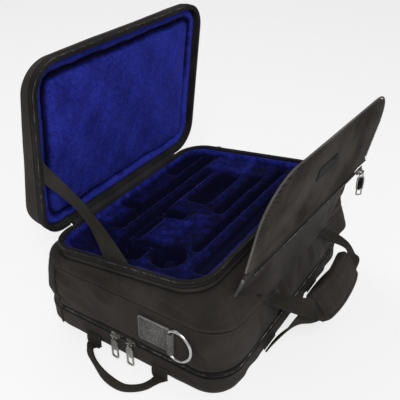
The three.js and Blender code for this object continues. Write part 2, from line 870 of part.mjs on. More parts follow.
// A slider on its track and the pull's pieces in its crown, hanging at an angle from the surface
function addSlider(name, frame, [along, across, out], place, pieces, hang = 0, size = 1) {
  const lift = size * (sliderThick + crownRise);
  stand(addPiece(`slider_${name}`, slider().scale(size, size, size), gunmetal, frame), along, across, out, place);
  const rod = place.clone().addScaledVector(out, lift);
  const up = across.clone().multiplyScalar(Math.cos(hang)).addScaledVector(out, -Math.sin(hang));
  const face = out.clone().multiplyScalar(Math.cos(hang)).addScaledVector(across, Math.sin(hang));
  for (const [piece, geometry, look] of pieces) {
    stand(addPiece(piece, geometry.scale(size, size, size), look, frame), along, up, face, rod);
  }
}

// Ring tab: X runs toward the ring, Y up and Z away from the cover
function ringTab() {
  const plate = loft([
    cornerRing(tabLength, tabHeight, tabEdgeRound, 0, cavitySteps),
    cornerRing(tabLength, tabHeight, tabEdgeRound, tabThick, cavitySteps),
  ]);
  const sleeveOuter = ringBore + sleeveThick;
  const sleeveX = tabLength / 2 + ringBore;
  const round = (radius, length) => new THREE.CylinderGeometry(radius, radius, length, 2 * wireSides)
    .translate(sleeveX, 0, sleeveOuter);
  return cutFrom(joinAll(plate, round(sleeveOuter, sleeveHeight)), round(ringBore, sleeveHeight + overrun));
}

// D-shaped wire ring, its straight bar along Y through the origin and its bow toward +X
function wireRing() {
  const half = ringOuterHeight / 2 - ringWire;
  const bow = ringReach - ringWire;
  const bowStart = bow * bowShare;
  const bar = half * barShare;
  const points = [at(0, -bar, 0), at(0, -bar / 2, 0), at(0, 0, 0), at(0, bar / 2, 0), at(0, bar, 0)];
  for (let step = 0; step <= arcSteps; step++) {
    const angle = quarterTurn - halfTurn * step / arcSteps;
    points.push(at(bowStart + (bow - bowStart) * Math.cos(angle), half * Math.sin(angle), 0));
  }
  return new THREE.TubeGeometry(new THREE.CatmullRomCurve3(points, true), ringSteps, ringWire, wireSides, true);
}

function addRing(name, side) {
  const [along, up, out] = [at(0, -1, 0), at(0, 0, -side), at(side, 0, 0)];
  const face = side * (coverLength / 2 + coverBulge + seatGap);
  const middle = tabLow + tabHeight / 2;
  const place = at(face, tabBack - tabLength / 2, middle);
  stand(addPiece(`ring_tab_${name}`, ringTab(), leather), along, up, out, place);
  const bar = at(face + side * (ringBore + sleeveThick), tabBack - tabLength - ringBore, middle);
  stand(addPiece(`ring_${name}`, wireRing(), steel), along, up, out, bar);
}

// The wrap grip's middle and the directions across it and out of it
const gripAcross = at(0, -Math.cos(wrapTilt * degree), -Math.sin(wrapTilt * degree));
const gripFace = at(0, -Math.sin(wrapTilt * degree), Math.cos(wrapTilt * degree));
const gripMiddle = at(0, -coverBack - gripOut, gripHeight);
const upperOff = wrapDepth / 2 - wrapPlate - seatGap - strapThick / 2;
const lowerOff = upperOff - strapThick - strapSplit;
const anchorFront = coverBack + wallBulge(anchorMiddle - anchorHeight / 2) + seatGap;
const upperPivot = at(-anchorSpread, -anchorFront - anchorThick - anchorGap - strapThick / 2, anchorMiddle);
const lowerPivot = at(-lowerSpread, -coverBack - seatGap - strapThick / 2, lowerHeight);

// Left half of a handle strap, from where it is sewn to inside the grip; the right half mirrors it
function handleStrap(pivot, off, runShares, turned) {
  const inGrip = (x) => gripMiddle.clone().addScaledVector(gripFace, off).setX(-x);
  const entry = inGrip(wrapLength / 2 + entryRun);
  const blend = ([x, y, z]) => at(
    THREE.MathUtils.lerp(pivot.x, entry.x, x),
    THREE.MathUtils.lerp(pivot.y, entry.y, y),
    THREE.MathUtils.lerp(pivot.z, entry.z, z));
  const turnBy = ([, , , turn]) => sideways.clone().lerp(turned, turn);
  const inside = gripRunShares.map((share) => inGrip(share * wrapLength));
  const leftPath = [pivot.clone(), ...runShares.map(blend), entry, ...inside];
  const leftTurn = [sideways, ...runShares.map(turnBy), turned, ...inside.map(() => turned)];
  const mirror = (point) => at(-point.x, point.y, point.z);
  const path = [...leftPath, inGrip(0), ...leftPath.map(mirror).reverse()];
  const turns = new THREE.CatmullRomCurve3([...leftTurn, turned, ...leftTurn.map(mirror).reverse()]);
  const strap = strapAlong(path, (share) => turns.getPoint(share), strapWidth, strapThick, handleSteps);
  const end = (point) => barAlong(strapWidth, strapThick / 2).translate(point.x, point.y, point.z);
  return joinAll(strap, end(pivot), end(mirror(pivot)));
}

// The grip: a padded plate with a rim along each long edge, open toward the cover
function wrapGrip() {
  const half = wrapWidth / 2;
  const [low, high] = [-wrapDepth / 2, wrapDepth / 2];
  const shape = new THREE.Shape();
  shape.moveTo(-half, low);
  shape.lineTo(wrapRim - half, low);
  shape.lineTo(wrapRim - half, high - wrapPlate);
  shape.lineTo(half - wrapRim, high - wrapPlate);
  shape.lineTo(half - wrapRim, low);
  shape.lineTo(half, low);
  shape.absarc(half - wrapRound, high - wrapRound, wrapRound, 0, quarterTurn, false);
  shape.absarc(wrapRound - half, high - wrapRound, wrapRound, quarterTurn, halfTurn, false);
  const grip = new THREE.ExtrudeGeometry(shape, { depth: wrapLength, bevelEnabled: false, curveSegments: arcSteps });
  return grip.translate(0, 0, -wrapLength / 2);
}

function handleAnchor(side) {
  const y = -anchorFront - anchorThick / 2;
  return box(anchorWidth, anchorThick, anchorHeight, side * anchorSpread, y, anchorMiddle);
}

function lowerAnchor(side) {
  const y = -coverBack - seatGap - lowerAnchorThick / 2;
  const z = lowerAnchorLow + lowerAnchorHeight / 2;
  return box(anchorWidth, lowerAnchorThick, lowerAnchorHeight, side * lowerSpread, y, z);
}

// The side loop lies beside the case, its ends at the pocket's bottom edge; its rear leg twists up
function sideLoop() {
  const height = seatGap + loopThick / 2;
  const back = at(-loopStart, loopBack, height);
  const front = at(-loopStart, loopFront, height);
  const bend = loopShares.map(([reachShare, backShare, twistShare]) => at(
    -loopStart - reachShare * loopReach,
    THREE.MathUtils.lerp(loopFront, loopBack, backShare),
    height + Math.sin(twistShare * loopTwist * degree) * loopWidth / 2));
  const twists = [0, ...loopShares.map((station) => station[2]), 0];
  const twistPath = new THREE.CatmullRomCurve3(twists.map((twist, index) => at(index, twist, 0)));
  const turnAt = (share, tangent) => {
    const twist = Math.max(twistPath.getPoint(share).y, 0) * loopTwist * degree;
    const level = at(-tangent.y, tangent.x, 0).normalize();
    return level.multiplyScalar(Math.cos(twist)).add(at(0, 0, Math.sin(twist)));
  };
  const strap = strapAlong([back, ...bend, front], turnAt, loopWidth, loopThick, loopSteps);
  const end = (point) => new THREE.CylinderGeometry(loopThick / 2, loopThick / 2, loopWidth, 2 * wireSides)
    .translate(point.x, point.y, point.z);
  return joinAll(strap, end(back), end(front));
}

function loopAnchor(y) {
  const x = -coverLength / 2 - seatGap - loopAnchorThick / 2;
  const z = loopAnchorLow + loopAnchorHeight / 2;
  return box(loopAnchorThick, loopAnchorLength, loopAnchorHeight, x, y, z);
}

// Pocket below
addPiece('pocket_tray', pocketTray(), nylon);
addPiece('pocket_zip_lower', pocketTape(tapeFoot), tapeCloth);
addPiece('pocket_hinge_strip', pocketHinge(), nylon);
addPiece('pocket_back_band', pocketBack(), nylon);
addPiece('side_loop_anchor_rear', loopAnchor(loopBack), webbing);
addPiece('side_loop_anchor_front', loopAnchor(loopFront), webbing);
addPiece('lower_strap_anchor_left', lowerAnchor(-1), webbing);
addPiece('lower_strap_anchor_right', lowerAnchor(1), webbing);
addPiece('side_loop', sideLoop(), webbing);

// Soft cover and what is sewn to it
addPiece('pocket_zip_upper', pocketTape(tapeFoot + tapeHeight + tapeGap), tapeCloth);
addPiece('cover_body', coverBody(), nylon);
addPiece('flap_riser', riser(), nylon);
addPiece('flap_zip_tape', box(flapTapeLength, flapTapeThick, flapTapeHeight, 0, 0, 0), tapeCloth);
addPiece('riser_piping_left', riserPiping(-1), pipingCloth);
addPiece('riser_piping_right', riserPiping(1), pipingCloth);
addPiece('handle_anchor_left', handleAnchor(-1), webbing);
addPiece('handle_anchor_right', handleAnchor(1), webbing);
addRing('left', -1);
addRing('right', 1);
const tapePlace = flapTrack.clone().addScaledVector(riserOut, flapTapeThick / 2);
stand(model.getObjectByName('flap_zip_tape'), flapAlong, riserOut.clone().negate(), riserUp, tapePlace);

// Handle
addPiece('handle_upper_strap', handleStrap(upperPivot, upperOff, upperRunShares, gripAcross.clone().negate()), webbing);
addPiece('handle_lower_strap', handleStrap(lowerPivot, lowerOff, lowerRunShares, gripAcross), webbing);
const gripPlace = gripMiddle.clone();
stand(addPiece('handle_grip', wrapGrip(), nylon), gripAcross, gripFace, sideways.clone().negate(), gripPlace);

// Hard shell, lining and lid
addPiece('shell_base', shellBase(), board, caseFrame);
addPiece('rim_zip_base', rimTape(-rimGap - rimTapeHeight), tapeCloth, caseFrame);
addPiece('lid_hinge_strip', rimHinge(), tapeCloth, caseFrame);
addPiece('moulded_lining', mouldedLining(), plush, caseFrame);
addPiece('stay_seat', staySeat(), webbing, caseFrame);
addPiece('stay_strap', stayStrap(), webbing);
addPiece('lid_shell', lidShell(), board, lidFrame);
addPiece('rim_zip_lid', rimTape(rimGap), tapeCloth, lidFrame);
addPiece('lid_lining', lidLining(), plush, lidFrame);
addPiece('stay_patch_lid', stayPatch(), webbing, lidFrame);

// Flap
addPiece('flap_panel', flapPanel(), ribbed, flapFrame);
addPiece('flap_piping', flapPiping(), pipingCloth, flapFrame);
addPiece('label_patch', labelPatch(), leather, flapFrame);

// Zipper sliders
const sideTrack = [at(0, -1, 0), at(0, 0, 1), at(-1, 0, 0)];
const trackX = -coverLength / 2 - tapeProud - seatGap;
const plainPull = (name) => [[`pull_${name}`, pull(), gunmetal]];
addSlider('rear', model, sideTrack, at(trackX, rearSliderAlong, tapeMiddle), plainPull('rear'));
addSlider('front', model, sideTrack, at(trackX, frontSliderAlong, tapeMiddle), plainPull('front'));
const gripPull = [
  ['pull_flap', gripTab(), gunmetal],
  ['pull_flap_grip', gripSleeve(), rubber],
  ['pull_flap_tip', gripTip(), gunmetal],
];
const flapPlace = flapTrack.clone().addScaledVector(riserOut, flapTapeThick + seatGap);
flapPlace.addScaledVector(flapAlong, flapSliderAlong);
const riserLean = Math.atan2(-riserUp.y, riserUp.z);
addSlider('flap', model, [flapAlong, riserUp, riserOut], flapPlace, gripPull, riserLean);
const rimTrack = [at(0, 1, 0), at(0, 0, 1), at(1, 0, 0)];
const rimPlace = at(rimLength / 2 + seatGap, rimSliderAlong, -rimGap - rimTapeHeight / 2);
addSlider('rim', caseFrame, rimTrack, rimPlace, plainPull('rim'), rimPullHang * degree, smallShare);

export default model;
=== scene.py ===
# The looks of an oboe case: soft cover, hard shell, plush lining, flap, handle and their trimmings.
# Sizes are in millimetres and become metres where a mesh is made. X runs along the lid's hinge.
import math

import numpy as np

import bpy
from mathutils import Matrix, Vector


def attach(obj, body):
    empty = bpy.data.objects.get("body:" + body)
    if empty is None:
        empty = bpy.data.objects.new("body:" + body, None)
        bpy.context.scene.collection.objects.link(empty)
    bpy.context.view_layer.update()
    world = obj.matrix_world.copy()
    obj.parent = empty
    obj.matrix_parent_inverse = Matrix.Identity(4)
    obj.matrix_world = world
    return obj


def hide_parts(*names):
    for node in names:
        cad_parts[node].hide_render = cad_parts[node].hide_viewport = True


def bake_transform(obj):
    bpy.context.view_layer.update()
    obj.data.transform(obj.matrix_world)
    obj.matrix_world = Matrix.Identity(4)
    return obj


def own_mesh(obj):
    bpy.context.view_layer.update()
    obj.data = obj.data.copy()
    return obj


METRE = 0.001
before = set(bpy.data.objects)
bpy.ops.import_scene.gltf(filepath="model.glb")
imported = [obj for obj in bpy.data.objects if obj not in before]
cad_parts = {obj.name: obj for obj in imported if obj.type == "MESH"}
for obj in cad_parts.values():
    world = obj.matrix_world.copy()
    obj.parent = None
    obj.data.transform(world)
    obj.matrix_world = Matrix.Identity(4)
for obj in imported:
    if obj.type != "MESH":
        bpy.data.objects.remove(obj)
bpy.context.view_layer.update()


# ---------------------------------------------------------------- camera, light and floor
CAMERA_TURN, CAMERA_LIFT = math.radians(-57.33), math.radians(32.06)
CAMERA_PLACE = (-0.6619, -0.4183, 0.6553)
LENS, SENSOR = 54.47, 36
# Each lamp's name, place, target, size and power.
LAMPS = [
    ("key", (-1.5, -1.1, 1.9), (0, 0, 0.15), 0.8, 44),
    ("fill", (0.9, -2.0, 1.0), (0, 0, 0.15), 1.6, 3),
    ("top", (0.3, 0.9, 2.1), (0, 0, 0.2), 1.0, 12)]
WORLD_LIGHT, WORLD_SEEN = 0.26, 1.0
FLOOR_REACH, FLOOR_DROP = 6, 0.0004
FLOOR_GREY, FLOOR_GLOW = 0.86, 0.74


def add_camera():
    turn, lift = CAMERA_TURN, CAMERA_LIFT
    back = Vector((math.sin(turn) * math.cos(lift), -math.cos(turn) * math.cos(lift), math.sin(lift)))
    right = Vector((math.cos(turn), math.sin(turn), 0))
    data = bpy.data.cameras.new("camera")
    data.lens, data.sensor_width = LENS, SENSOR
    camera = bpy.data.objects.new("camera", data)
    place = Matrix((right, back.cross(right), back)).transposed().to_4x4()
    place.translation = Vector(CAMERA_PLACE)
    camera.matrix_world = place
    bpy.context.scene.collection.objects.link(camera)
    bpy.context.scene.camera = camera


def add_lamp(name, place, target, size, power):
    data = bpy.data.lights.new(name, "AREA")
    data.shape, data.size, data.energy = "SQUARE", size, power
    lamp = bpy.data.objects.new(name, data)
    lamp.location = place
    lamp.rotation_euler = (Vector(target) - Vector(place)).to_track_quat("-Z", "Y").to_euler()
    bpy.context.scene.collection.objects.link(lamp)


def camera_rays(tree):
    """One for what the camera sees, straight or through something clear, and nought for other light."""
    path = tree.nodes.new("ShaderNodeLightPath")
    either = tree.nodes.new("ShaderNodeMath")
    either.operation = "MAXIMUM"
    tree.links.new(path.outputs["Is Camera Ray"], either.inputs[0])
    tree.links.new(path.outputs["Is Transmission Ray"], either.inputs[1])
    return either.outputs[0]


def add_world():
    """A white surround that gives the object only a plain, low light."""
    world = bpy.data.worlds.new("studio")
    world.use_nodes = True
    tree = world.node_tree
    ground = tree.nodes["Background"]
    strength = tree.nodes.new("ShaderNodeMapRange")
    strength.inputs["To Min"].default_value = WORLD_LIGHT
    strength.inputs["To Max"].default_value = WORLD_SEEN
    tree.links.new(camera_rays(tree), strength.inputs["Value"])
    tree.links.new(strength.outputs[0], ground.inputs["Strength"])
    ground.inputs["Color"].default_value = (1, 1, 1, 1)
    bpy.context.scene.world = world


def add_floor():
    """A pale floor that glows a little for the camera and still takes the object's shadow."""
    mesh = bpy.data.meshes.new("floor")
    far = FLOOR_REACH
    mesh.from_pydata([(-far, -far, 0), (far, -far, 0), (far, far, 0), (-far, far, 0)], [], [(0, 1, 2, 3)])
    floor = bpy.data.objects.new("floor", mesh)
    floor.location.z = -FLOOR_DROP
    bpy.context.scene.collection.objects.link(floor)
    look = bpy.data.materials.new("pale floor")
    look.use_nodes = True
    nodes, links = look.node_tree.nodes, look.node_tree.links
    shade = nodes["Principled BSDF"]
    shade.inputs["Base Color"].default_value = (FLOOR_GREY, FLOOR_GREY, FLOOR_GREY, 1)
    shade.inputs["Roughness"].default_value = 0.9
    glow = nodes.new("ShaderNodeEmission")
    both = nodes.new("ShaderNodeMixShader")
    share = nodes.new("ShaderNodeMath")
    share.operation = "MULTIPLY"
    share.inputs[1].default_value = FLOOR_GLOW
    links.new(camera_rays(look.node_tree), share.inputs[0])
    links.new(share.outputs[0], both.inputs[0])
    links.new(shade.outputs[0], both.inputs[1])
    links.new(glow.outputs[0], both.inputs[2])
    links.new(both.outputs[0], nodes["Material Output"].inputs["Surface"])
    mesh.materials.append(look)


def add_studio():
    bpy.context.scene.view_settings.view_transform = "Standard"
    add_world()
    for lamp in LAMPS:
        add_lamp(*lamp)
    add_floor()


# ---------------------------------------------------------------- shader groups
def new_group(name, sockets):
    """A shader group; sockets are (name, "in" or "out", kind, default)."""
    tree = bpy.data.node_groups.new(name, "ShaderNodeTree")
    for label, way, kind, default in sockets:
        side = "INPUT" if way == "in" else "OUTPUT"
        socket = tree.interface.new_socket(name=label, in_out=side, socket_type="NodeSocket" + kind)
        if default is not None:
            socket.default_value = default
    return tree, tree.nodes.new("NodeGroupInput").outputs, tree.nodes.new("NodeGroupOutput").inputs


def feed(tree, socket, value):
    if isinstance(value, bpy.types.NodeSocket):
        tree.links.new(value, socket)
    elif value is not None:
        socket.default_value = value


def sums(tree, operation, first, second=None, third=None):
    node = tree.nodes.new("ShaderNodeMath")
    node.operation = operation
    for index, value in enumerate((first, second, third)):
        feed(tree, node.inputs[index], value)
    return node.outputs[0]

def times(tree, first, second):
    return sums(tree, "MULTIPLY", first, second)


def humps(tree, value, turn=math.pi):
    """Rounded crests from 0 to 1, each as long as pi over turn."""
    return sums(tree, "ABSOLUTE", sums(tree, "SINE", times(tree, value, turn)))


def blended(tree, share, first, second, kind="MIX"):
    node = tree.nodes.new("ShaderNodeMix")
    node.data_type, node.blend_type = "RGBA", kind
    feed(tree, node.inputs["Factor"], share)
    feed(tree, node.inputs["A"], first)
    feed(tree, node.inputs["B"], second)
    return node.outputs["Result"]


def noise(tree, vector, scale, detail=3.0, rough=0.55):
    node = tree.nodes.new("ShaderNodeTexNoise")
    feed(tree, node.inputs["Vector"], vector)
    feed(tree, node.inputs["Scale"], scale)
    node.inputs["Detail"].default_value = detail
    node.inputs["Roughness"].default_value = rough
    return node.outputs["Fac"]


def spread(tree, value, low, high, to_low=0.0, to_high=1.0):
    node = tree.nodes.new("ShaderNodeMapRange")
    feed(tree, node.inputs["Value"], value)
    for label, number in (("From Min", low), ("From Max", high), ("To Min", to_low), ("To Max", to_high)):
        feed(tree, node.inputs[label], number)
    return node.outputs[0]


def weave_group():
    tree, given, made = new_group("woven threads", [
        ("Vector", "in", "Vector", None), ("Across", "in", "Float", 1000.0),
        ("Along", "in", "Float", 1000.0),
        ("Height", "out", "Float", None), ("Gap_shade", "out", "Float", None)])
    split = tree.nodes.new("ShaderNodeSeparateXYZ")
    tree.links.new(given["Vector"], split.inputs[0])
    u = times(tree, split.outputs[0], given["Across"])
    v = times(tree, split.outputs[1], given["Along"])
    warp, weft = humps(tree, u), humps(tree, v)
    parity = sums(tree, "ADD", sums(tree, "FLOOR", u), sums(tree, "FLOOR", v))
    over = humps(tree, parity, math.pi / 2)
    high = sums(tree, "MULTIPLY_ADD", sums(tree, "SUBTRACT", warp, weft), over, weft)
    tree.links.new(high, made["Height"])
    # Painted shade between the threads: near 1 where neither thread stands high, 0 on their crowns.
    tree.links.new(spread(tree, times(tree, warp, weft), 0.0, 0.5, 1.0, 0.0), made["Gap_shade"])
    return tree


def wear_group():
    tree, given, made = new_group("wear and lint", [
        ("Color", "in", "Color", None), ("Vector", "in", "Vector", None), ("Edge", "in", "Float", 0.0),
        ("Lighter", "in", "Color", (0.2, 0.19, 0.18, 1)), ("Amount", "in", "Float", 0.3),
        ("Color", "out", "Color", None)])
    broad = noise(tree, given["Vector"], 14.0, 4.0)
    fine = noise(tree, given["Vector"], 260.0, 2.0, 0.7)
    patchy = blended(tree, spread(tree, broad, 0.35, 0.7, 0.0, 0.32), given["Color"], given["Lighter"])
    dull = spread(tree, broad, 0.25, 0.55, 0.3, 0.0)
    shade = blended(tree, dull, patchy, (0.3, 0.3, 0.3, 1), "MULTIPLY")
    lint = times(tree, spread(tree, fine, 0.66, 0.78, 0.0, 1.0), 0.35)
    edge = times(tree, given["Edge"], spread(tree, fine, 0.3, 0.6, 0.35, 1.0))
    worn = times(tree, sums(tree, "MAXIMUM", edge, lint), given["Amount"])
    tree.links.new(blended(tree, worn, shade, given["Lighter"]), made["Color"])
    return tree


def pile_group():
    tree, given, made = new_group("plush pile", [
        ("Vector", "in", "Vector", None), ("Dark", "in", "Color", None), ("Middle", "in", "Color", None),
        ("Bright", "in", "Color", None), ("Lift", "in", "Float", 0.0),
        ("Color", "out", "Color", None), ("Height", "out", "Float", None)])
    fine = noise(tree, given["Vector"], 620.0, 3.0, 0.7)
    tufts = noise(tree, given["Vector"], 150.0, 3.0, 0.6)
    crush = noise(tree, given["Vector"], 26.0, 4.0, 0.6)
    level = sums(tree, "ADD", times(tree, tufts, 0.3), times(tree, crush, 0.16))
    # The piece's numbers carry painted light and shade, with some random tone, into the pile's level.
    level = sums(tree, "ADD", level, sums(tree, "MULTIPLY_ADD", given["Lift"], 0.6, -0.03))
    low = blended(tree, spread(tree, level, 0.34, 0.52), given["Dark"], given["Middle"])
    color = blended(tree, spread(tree, level, 0.5, 0.8), low, given["Bright"])
    tips = spread(tree, fine, 0.32, 0.68, 0.0, 0.9)
    specks = blended(tree, tips, (0.3, 0.3, 0.36, 1), (1.6, 1.6, 1.5, 1))
    tree.links.new(blended(tree, 1.0, color, specks, "MULTIPLY"), made["Color"])
    height = sums(tree, "ADD", times(tree, fine, 0.5), times(tree, tufts, 0.9))
    tree.links.new(height, made["Height"])
    return tree


def grain_group():
    tree, given, made = new_group("leather grain", [
        ("Vector", "in", "Vector", None), ("Size", "in", "Float", 900.0),
        ("Height", "out", "Float", None), ("Creases", "out", "Float", None)])
    cells = tree.nodes.new("ShaderNodeTexVoronoi")
    cells.feature = "DISTANCE_TO_EDGE"
    tree.links.new(given["Vector"], cells.inputs["Vector"])
    tree.links.new(given["Size"], cells.inputs["Scale"])
    edge = spread(tree, cells.outputs["Distance"], 0.04, 0.42)
    uneven = noise(tree, given["Vector"], 180.0, 4.0)
    tree.links.new(times(tree, edge, sums(tree, "ADD", 0.6, uneven)), made["Height"])
    tree.links.new(sums(tree, "SUBTRACT", 1.0, edge), made["Creases"])
    return tree


def metal_group():
    tree, given, made = new_group("handled metal", [
        ("Color", "in", "Color", None), ("Vector", "in", "Vector", None), ("Rough", "in", "Float", 0.3),
        ("Color", "out", "Color", None), ("Roughness", "out", "Float", None),
        ("Height", "out", "Float", None)])
    smear = noise(tree, given["Vector"], 120.0, 4.0)
    fine = noise(tree, given["Vector"], 1500.0, 2.0, 0.7)
    rubbed = spread(tree, smear, 0.45, 0.75, 0.0, 0.5)
    worn = blended(tree, rubbed, given["Color"], (0.75, 0.74, 0.72, 1))
    grime = spread(tree, smear, 0.2, 0.45, 0.6, 0.0)
    tree.links.new(blended(tree, grime, worn, (0.1, 0.1, 0.1, 1), "MULTIPLY"), made["Color"])
    rough = sums(tree, "ADD", given["Rough"], spread(tree, smear, 0.3, 0.7, -0.08, 0.14))
    tree.links.new(rough, made["Roughness"])
    tree.links.new(fine, made["Height"])
    return tree


GROUPS = {"weave": weave_group(), "wear": wear_group(), "pile": pile_group(), "grain": grain_group(),
          "metal": metal_group()}
METAL_GLOSS, CLOTH_GLOSS = 0.5, 0.1


class Finish:
    """A material under way: its tree, its shader and short ways to reach them."""

    def __init__(self, name, roughness, **constants):
        self.made = bpy.data.materials.new(name)
        self.made.use_nodes = True
        self.tree = self.made.node_tree
        self.shader = self.tree.nodes["Principled BSDF"]
        self.shader.inputs["Roughness"].default_value = roughness
        gloss = METAL_GLOSS if "Metallic" in constants else CLOTH_GLOSS
        self.shader.inputs["Specular IOR Level"].default_value = gloss
        for label, value in constants.items():
            self.shader.inputs[label.replace("_", " ")].default_value = value
        places = self.tree.nodes.new("ShaderNodeTexCoord").outputs
        self.spots, self.threads = places["Object"], places["UV"]

    def group(self, key, **values):
        node = self.tree.nodes.new("ShaderNodeGroup")
        node.node_tree = GROUPS[key]
        for label, value in values.items():
            feed(self.tree, node.inputs[label], value)
        return node.outputs

    def mask(self):
        """The piece's own numbers: wear on cloth and leather, painted light and shade on the plush and on
        the flap's ribs.
        """
        node = self.tree.nodes.new("ShaderNodeAttribute")
        node.attribute_name = "wear"
        return node.outputs["Fac"]

    def color(self, value):
        feed(self.tree, self.shader.inputs["Base Color"], value)

    def worn_color(self, value, lighter, amount, edge=None):
        """A colour with lint, dull places and edges that are rubbed lighter."""
        marks = self.group("wear", Color=value, Vector=self.spots, Edge=edge, Lighter=lighter + (1,),
                           Amount=amount)
        self.color(marks["Color"])

    def bump(self, height, distance, strength=1.0, under=None):
        node = self.tree.nodes.new("ShaderNodeBump")
        node.inputs["Distance"].default_value = distance
        node.inputs["Strength"].default_value = strength
        feed(self.tree, node.inputs["Height"], height)
        if under is not None:
            self.tree.links.new(under, node.inputs["Normal"])
        self.tree.links.new(node.outputs[0], self.shader.inputs["Normal"])
        return node.outputs[0]


def cloth(name, base, lighter, across, along, depth=0.00025, rough=0.85, amount=0.4, dark=0.5):
    """Woven cloth on the piece's own UV map, its threads counted per metre."""
    look = Finish(name, rough, Sheen_Weight=0.03, Sheen_Roughness=0.45)
    weave = look.group("weave", Vector=look.threads, Across=across, Along=along)
    # Painted shade between the threads, as deep as the dark share.
    gaps = blended(look.tree, times(look.tree, weave["Gap_shade"], dark), base + (1,), (0, 0, 0, 1))
    look.worn_color(gaps, lighter, amount, look.mask())
    slack = noise(look.tree, look.spots, 60.0, 3.0)
    under = look.bump(slack, 0.0012, 0.35)
    look.bump(weave["Height"], depth, 0.8, under)
    return look.made


def plush(name):
    """Blue pile with random tone; the piece's numbers paint light and shade on it, brighter where it stands
    high and nearly black where it lies deep.
    """
    look = Finish(name, 0.95, Sheen_Weight=0.12, Sheen_Roughness=0.3, Sheen_Tint=(0.2, 0.25, 1.0, 1))
    pile = look.group("pile", Vector=look.spots, Dark=(0.0015, 0.0018, 0.018, 1),
                      Middle=(0.0055, 0.0075, 0.10, 1), Bright=(0.030, 0.040, 0.42, 1), Lift=look.mask())
    look.color(pile["Color"])
    look.bump(pile["Height"], 0.0011, 0.7)
    return look.made


def metal(name, color, rough):
    look = Finish(name, rough, Metallic=1.0)
    marks = look.group("metal", Color=color + (1,), Vector=look.spots, Rough=rough)
    look.color(marks["Color"])
    look.tree.links.new(marks["Roughness"], look.shader.inputs["Roughness"])
    soft = look.tree.nodes.new("ShaderNodeBevel")
    soft.inputs["Radius"].default_value = 0.0004
    look.bump(marks["Height"], 0.00002, 0.5, soft.outputs[0])
    return look.made


def leather(name, base, lighter):
    look = Finish(name, 0.6, Coat_Weight=0.08, Coat_Roughness=0.4)
    grain = look.group("grain", Vector=look.spots, Size=260.0)
    depth = times(look.tree, grain["Creases"], 0.92)
    tint = blended(look.tree, depth, base + (1,), (0.01, 0.01, 0.01, 1))
    look.worn_color(tint, lighter, 0.6, look.mask())
    look.bump(grain["Height"], 0.0009, 1.0)
    return look.made


def ribbed(name):
    """The flap's cloth, with painted shade between its threads and in the valleys between its ribs."""
    look = Finish(name, 0.95, Sheen_Weight=0.0)
    weave = look.group("weave", Vector=look.threads, Across=900.0, Along=1100.0)
    # Painted shade between the threads.
    gaps = times(look.tree, weave["Gap_shade"], 0.35)
    base = blended(look.tree, gaps, (0.050, 0.041, 0.036, 1), (0.01, 0.01, 0.01, 1))
    # Painted shade in the valleys between the ribs, from the piece's mask.
    base = blended(look.tree, look.mask(), base, (0.006, 0.006, 0.005, 1))
    look.worn_color(base, (0.16, 0.15, 0.14), 0.4)
    look.bump(weave["Height"], 0.0002, 0.6)
    return look.made


def rubber(name):
    look = Finish(name, 0.8)
    grain = look.group("grain", Vector=look.spots, Size=2500.0)
    look.worn_color((0.012, 0.012, 0.012, 1), (0.06, 0.06, 0.06), 0.3)
    look.bump(grain["Height"], 0.0001, 0.4)
    return look.made


NYLON = cloth("coarse nylon", (0.029, 0.0225, 0.0195), (0.078, 0.067, 0.060), 900.0, 900.0, 0.0004, 0.58)
RIBBED = ribbed("ribbed nylon")
INNER = cloth("flap lining cloth", (0.030, 0.028, 0.027), (0.08, 0.075, 0.07), 1200.0, 1200.0, 0.0002)
SHELL = cloth("shell cloth", (0.036, 0.030, 0.027), (0.09, 0.08, 0.073), 1100.0, 1100.0)
TAPE = cloth("zipper tape", (0.011, 0.010, 0.0095), (0.05, 0.047, 0.044), 1500.0, 900.0, 0.0002,
             dark=0.4)
HINGE_TAPE = cloth("hinge tape", (0.02, 0.019, 0.022), (0.06, 0.058, 0.06), 1500.0, 900.0, 0.0002,
                   dark=0.4)
WEBBING = cloth("strap webbing", (0.028, 0.024, 0.019), (0.075, 0.068, 0.055), 420.0, 760.0, 0.0005,
                dark=0.65)
PIPING = cloth("piping cloth", (0.095, 0.088, 0.082), (0.26, 0.25, 0.24), 900.0, 900.0, 0.0002,
               amount=0.5)
# Near-black piping: real piped cords whose colour is painted shade, the shadow lines along seams and edges.
SHADOW_LINE_PIPING = cloth("piping cloth in painted shade", (0.007, 0.0065, 0.006), (0.035, 0.033, 0.031), 1100.0, 1100.0,
                    0.0002)
THREAD = cloth("sewing thread", (0.06, 0.053, 0.048), (0.14, 0.13, 0.12), 3000.0, 3000.0, 0.0001)
PLUSH = plush("plush")
LEATHER = leather("grained leather", (0.16, 0.148, 0.138), (0.34, 0.33, 0.32))
STEEL = metal("plated ring", (0.55, 0.54, 0.52), 0.28)
GUNMETAL = metal("gunmetal", (0.40, 0.38, 0.35), 0.3)
COIL = metal("zipper coil", (0.045, 0.043, 0.042), 0.42)
RUBBER = rubber("black rubber")
PATCH = rubber("dark patch")


# ---------------------------------------------------------------- directions and places
X, Y, Z = np.eye(3)
SIDES = ((-1, "left"), (1, "right"))


def unit(vectors):
    return vectors / np.maximum(np.linalg.norm(vectors, axis=-1, keepdims=True), 1e-9)


def turned(origin, lean, yaw=0.0, slope=0.0):
    """A frame of its own: its directions as columns, and its origin."""
    spin = Matrix.Rotation(math.radians(yaw), 3, "Z") @ Matrix.Rotation(math.radians(slope), 3, "Y")
    return np.array(spin @ Matrix.Rotation(math.radians(lean), 3, "X")), np.array(origin, float)


def placed(where, points):
    """Points given in a frame of its own, where they lie on the object."""
    turn, origin = where
    return np.asarray(points, float) @ turn.T + origin


def patch_frame(where, along, up, out, spot):
    """The frame of a patch: its length, height and outward directions in a frame, and its middle."""
    return np.stack([where[0] @ along, where[0] @ up, where[0] @ out], 1), placed(where, spot)


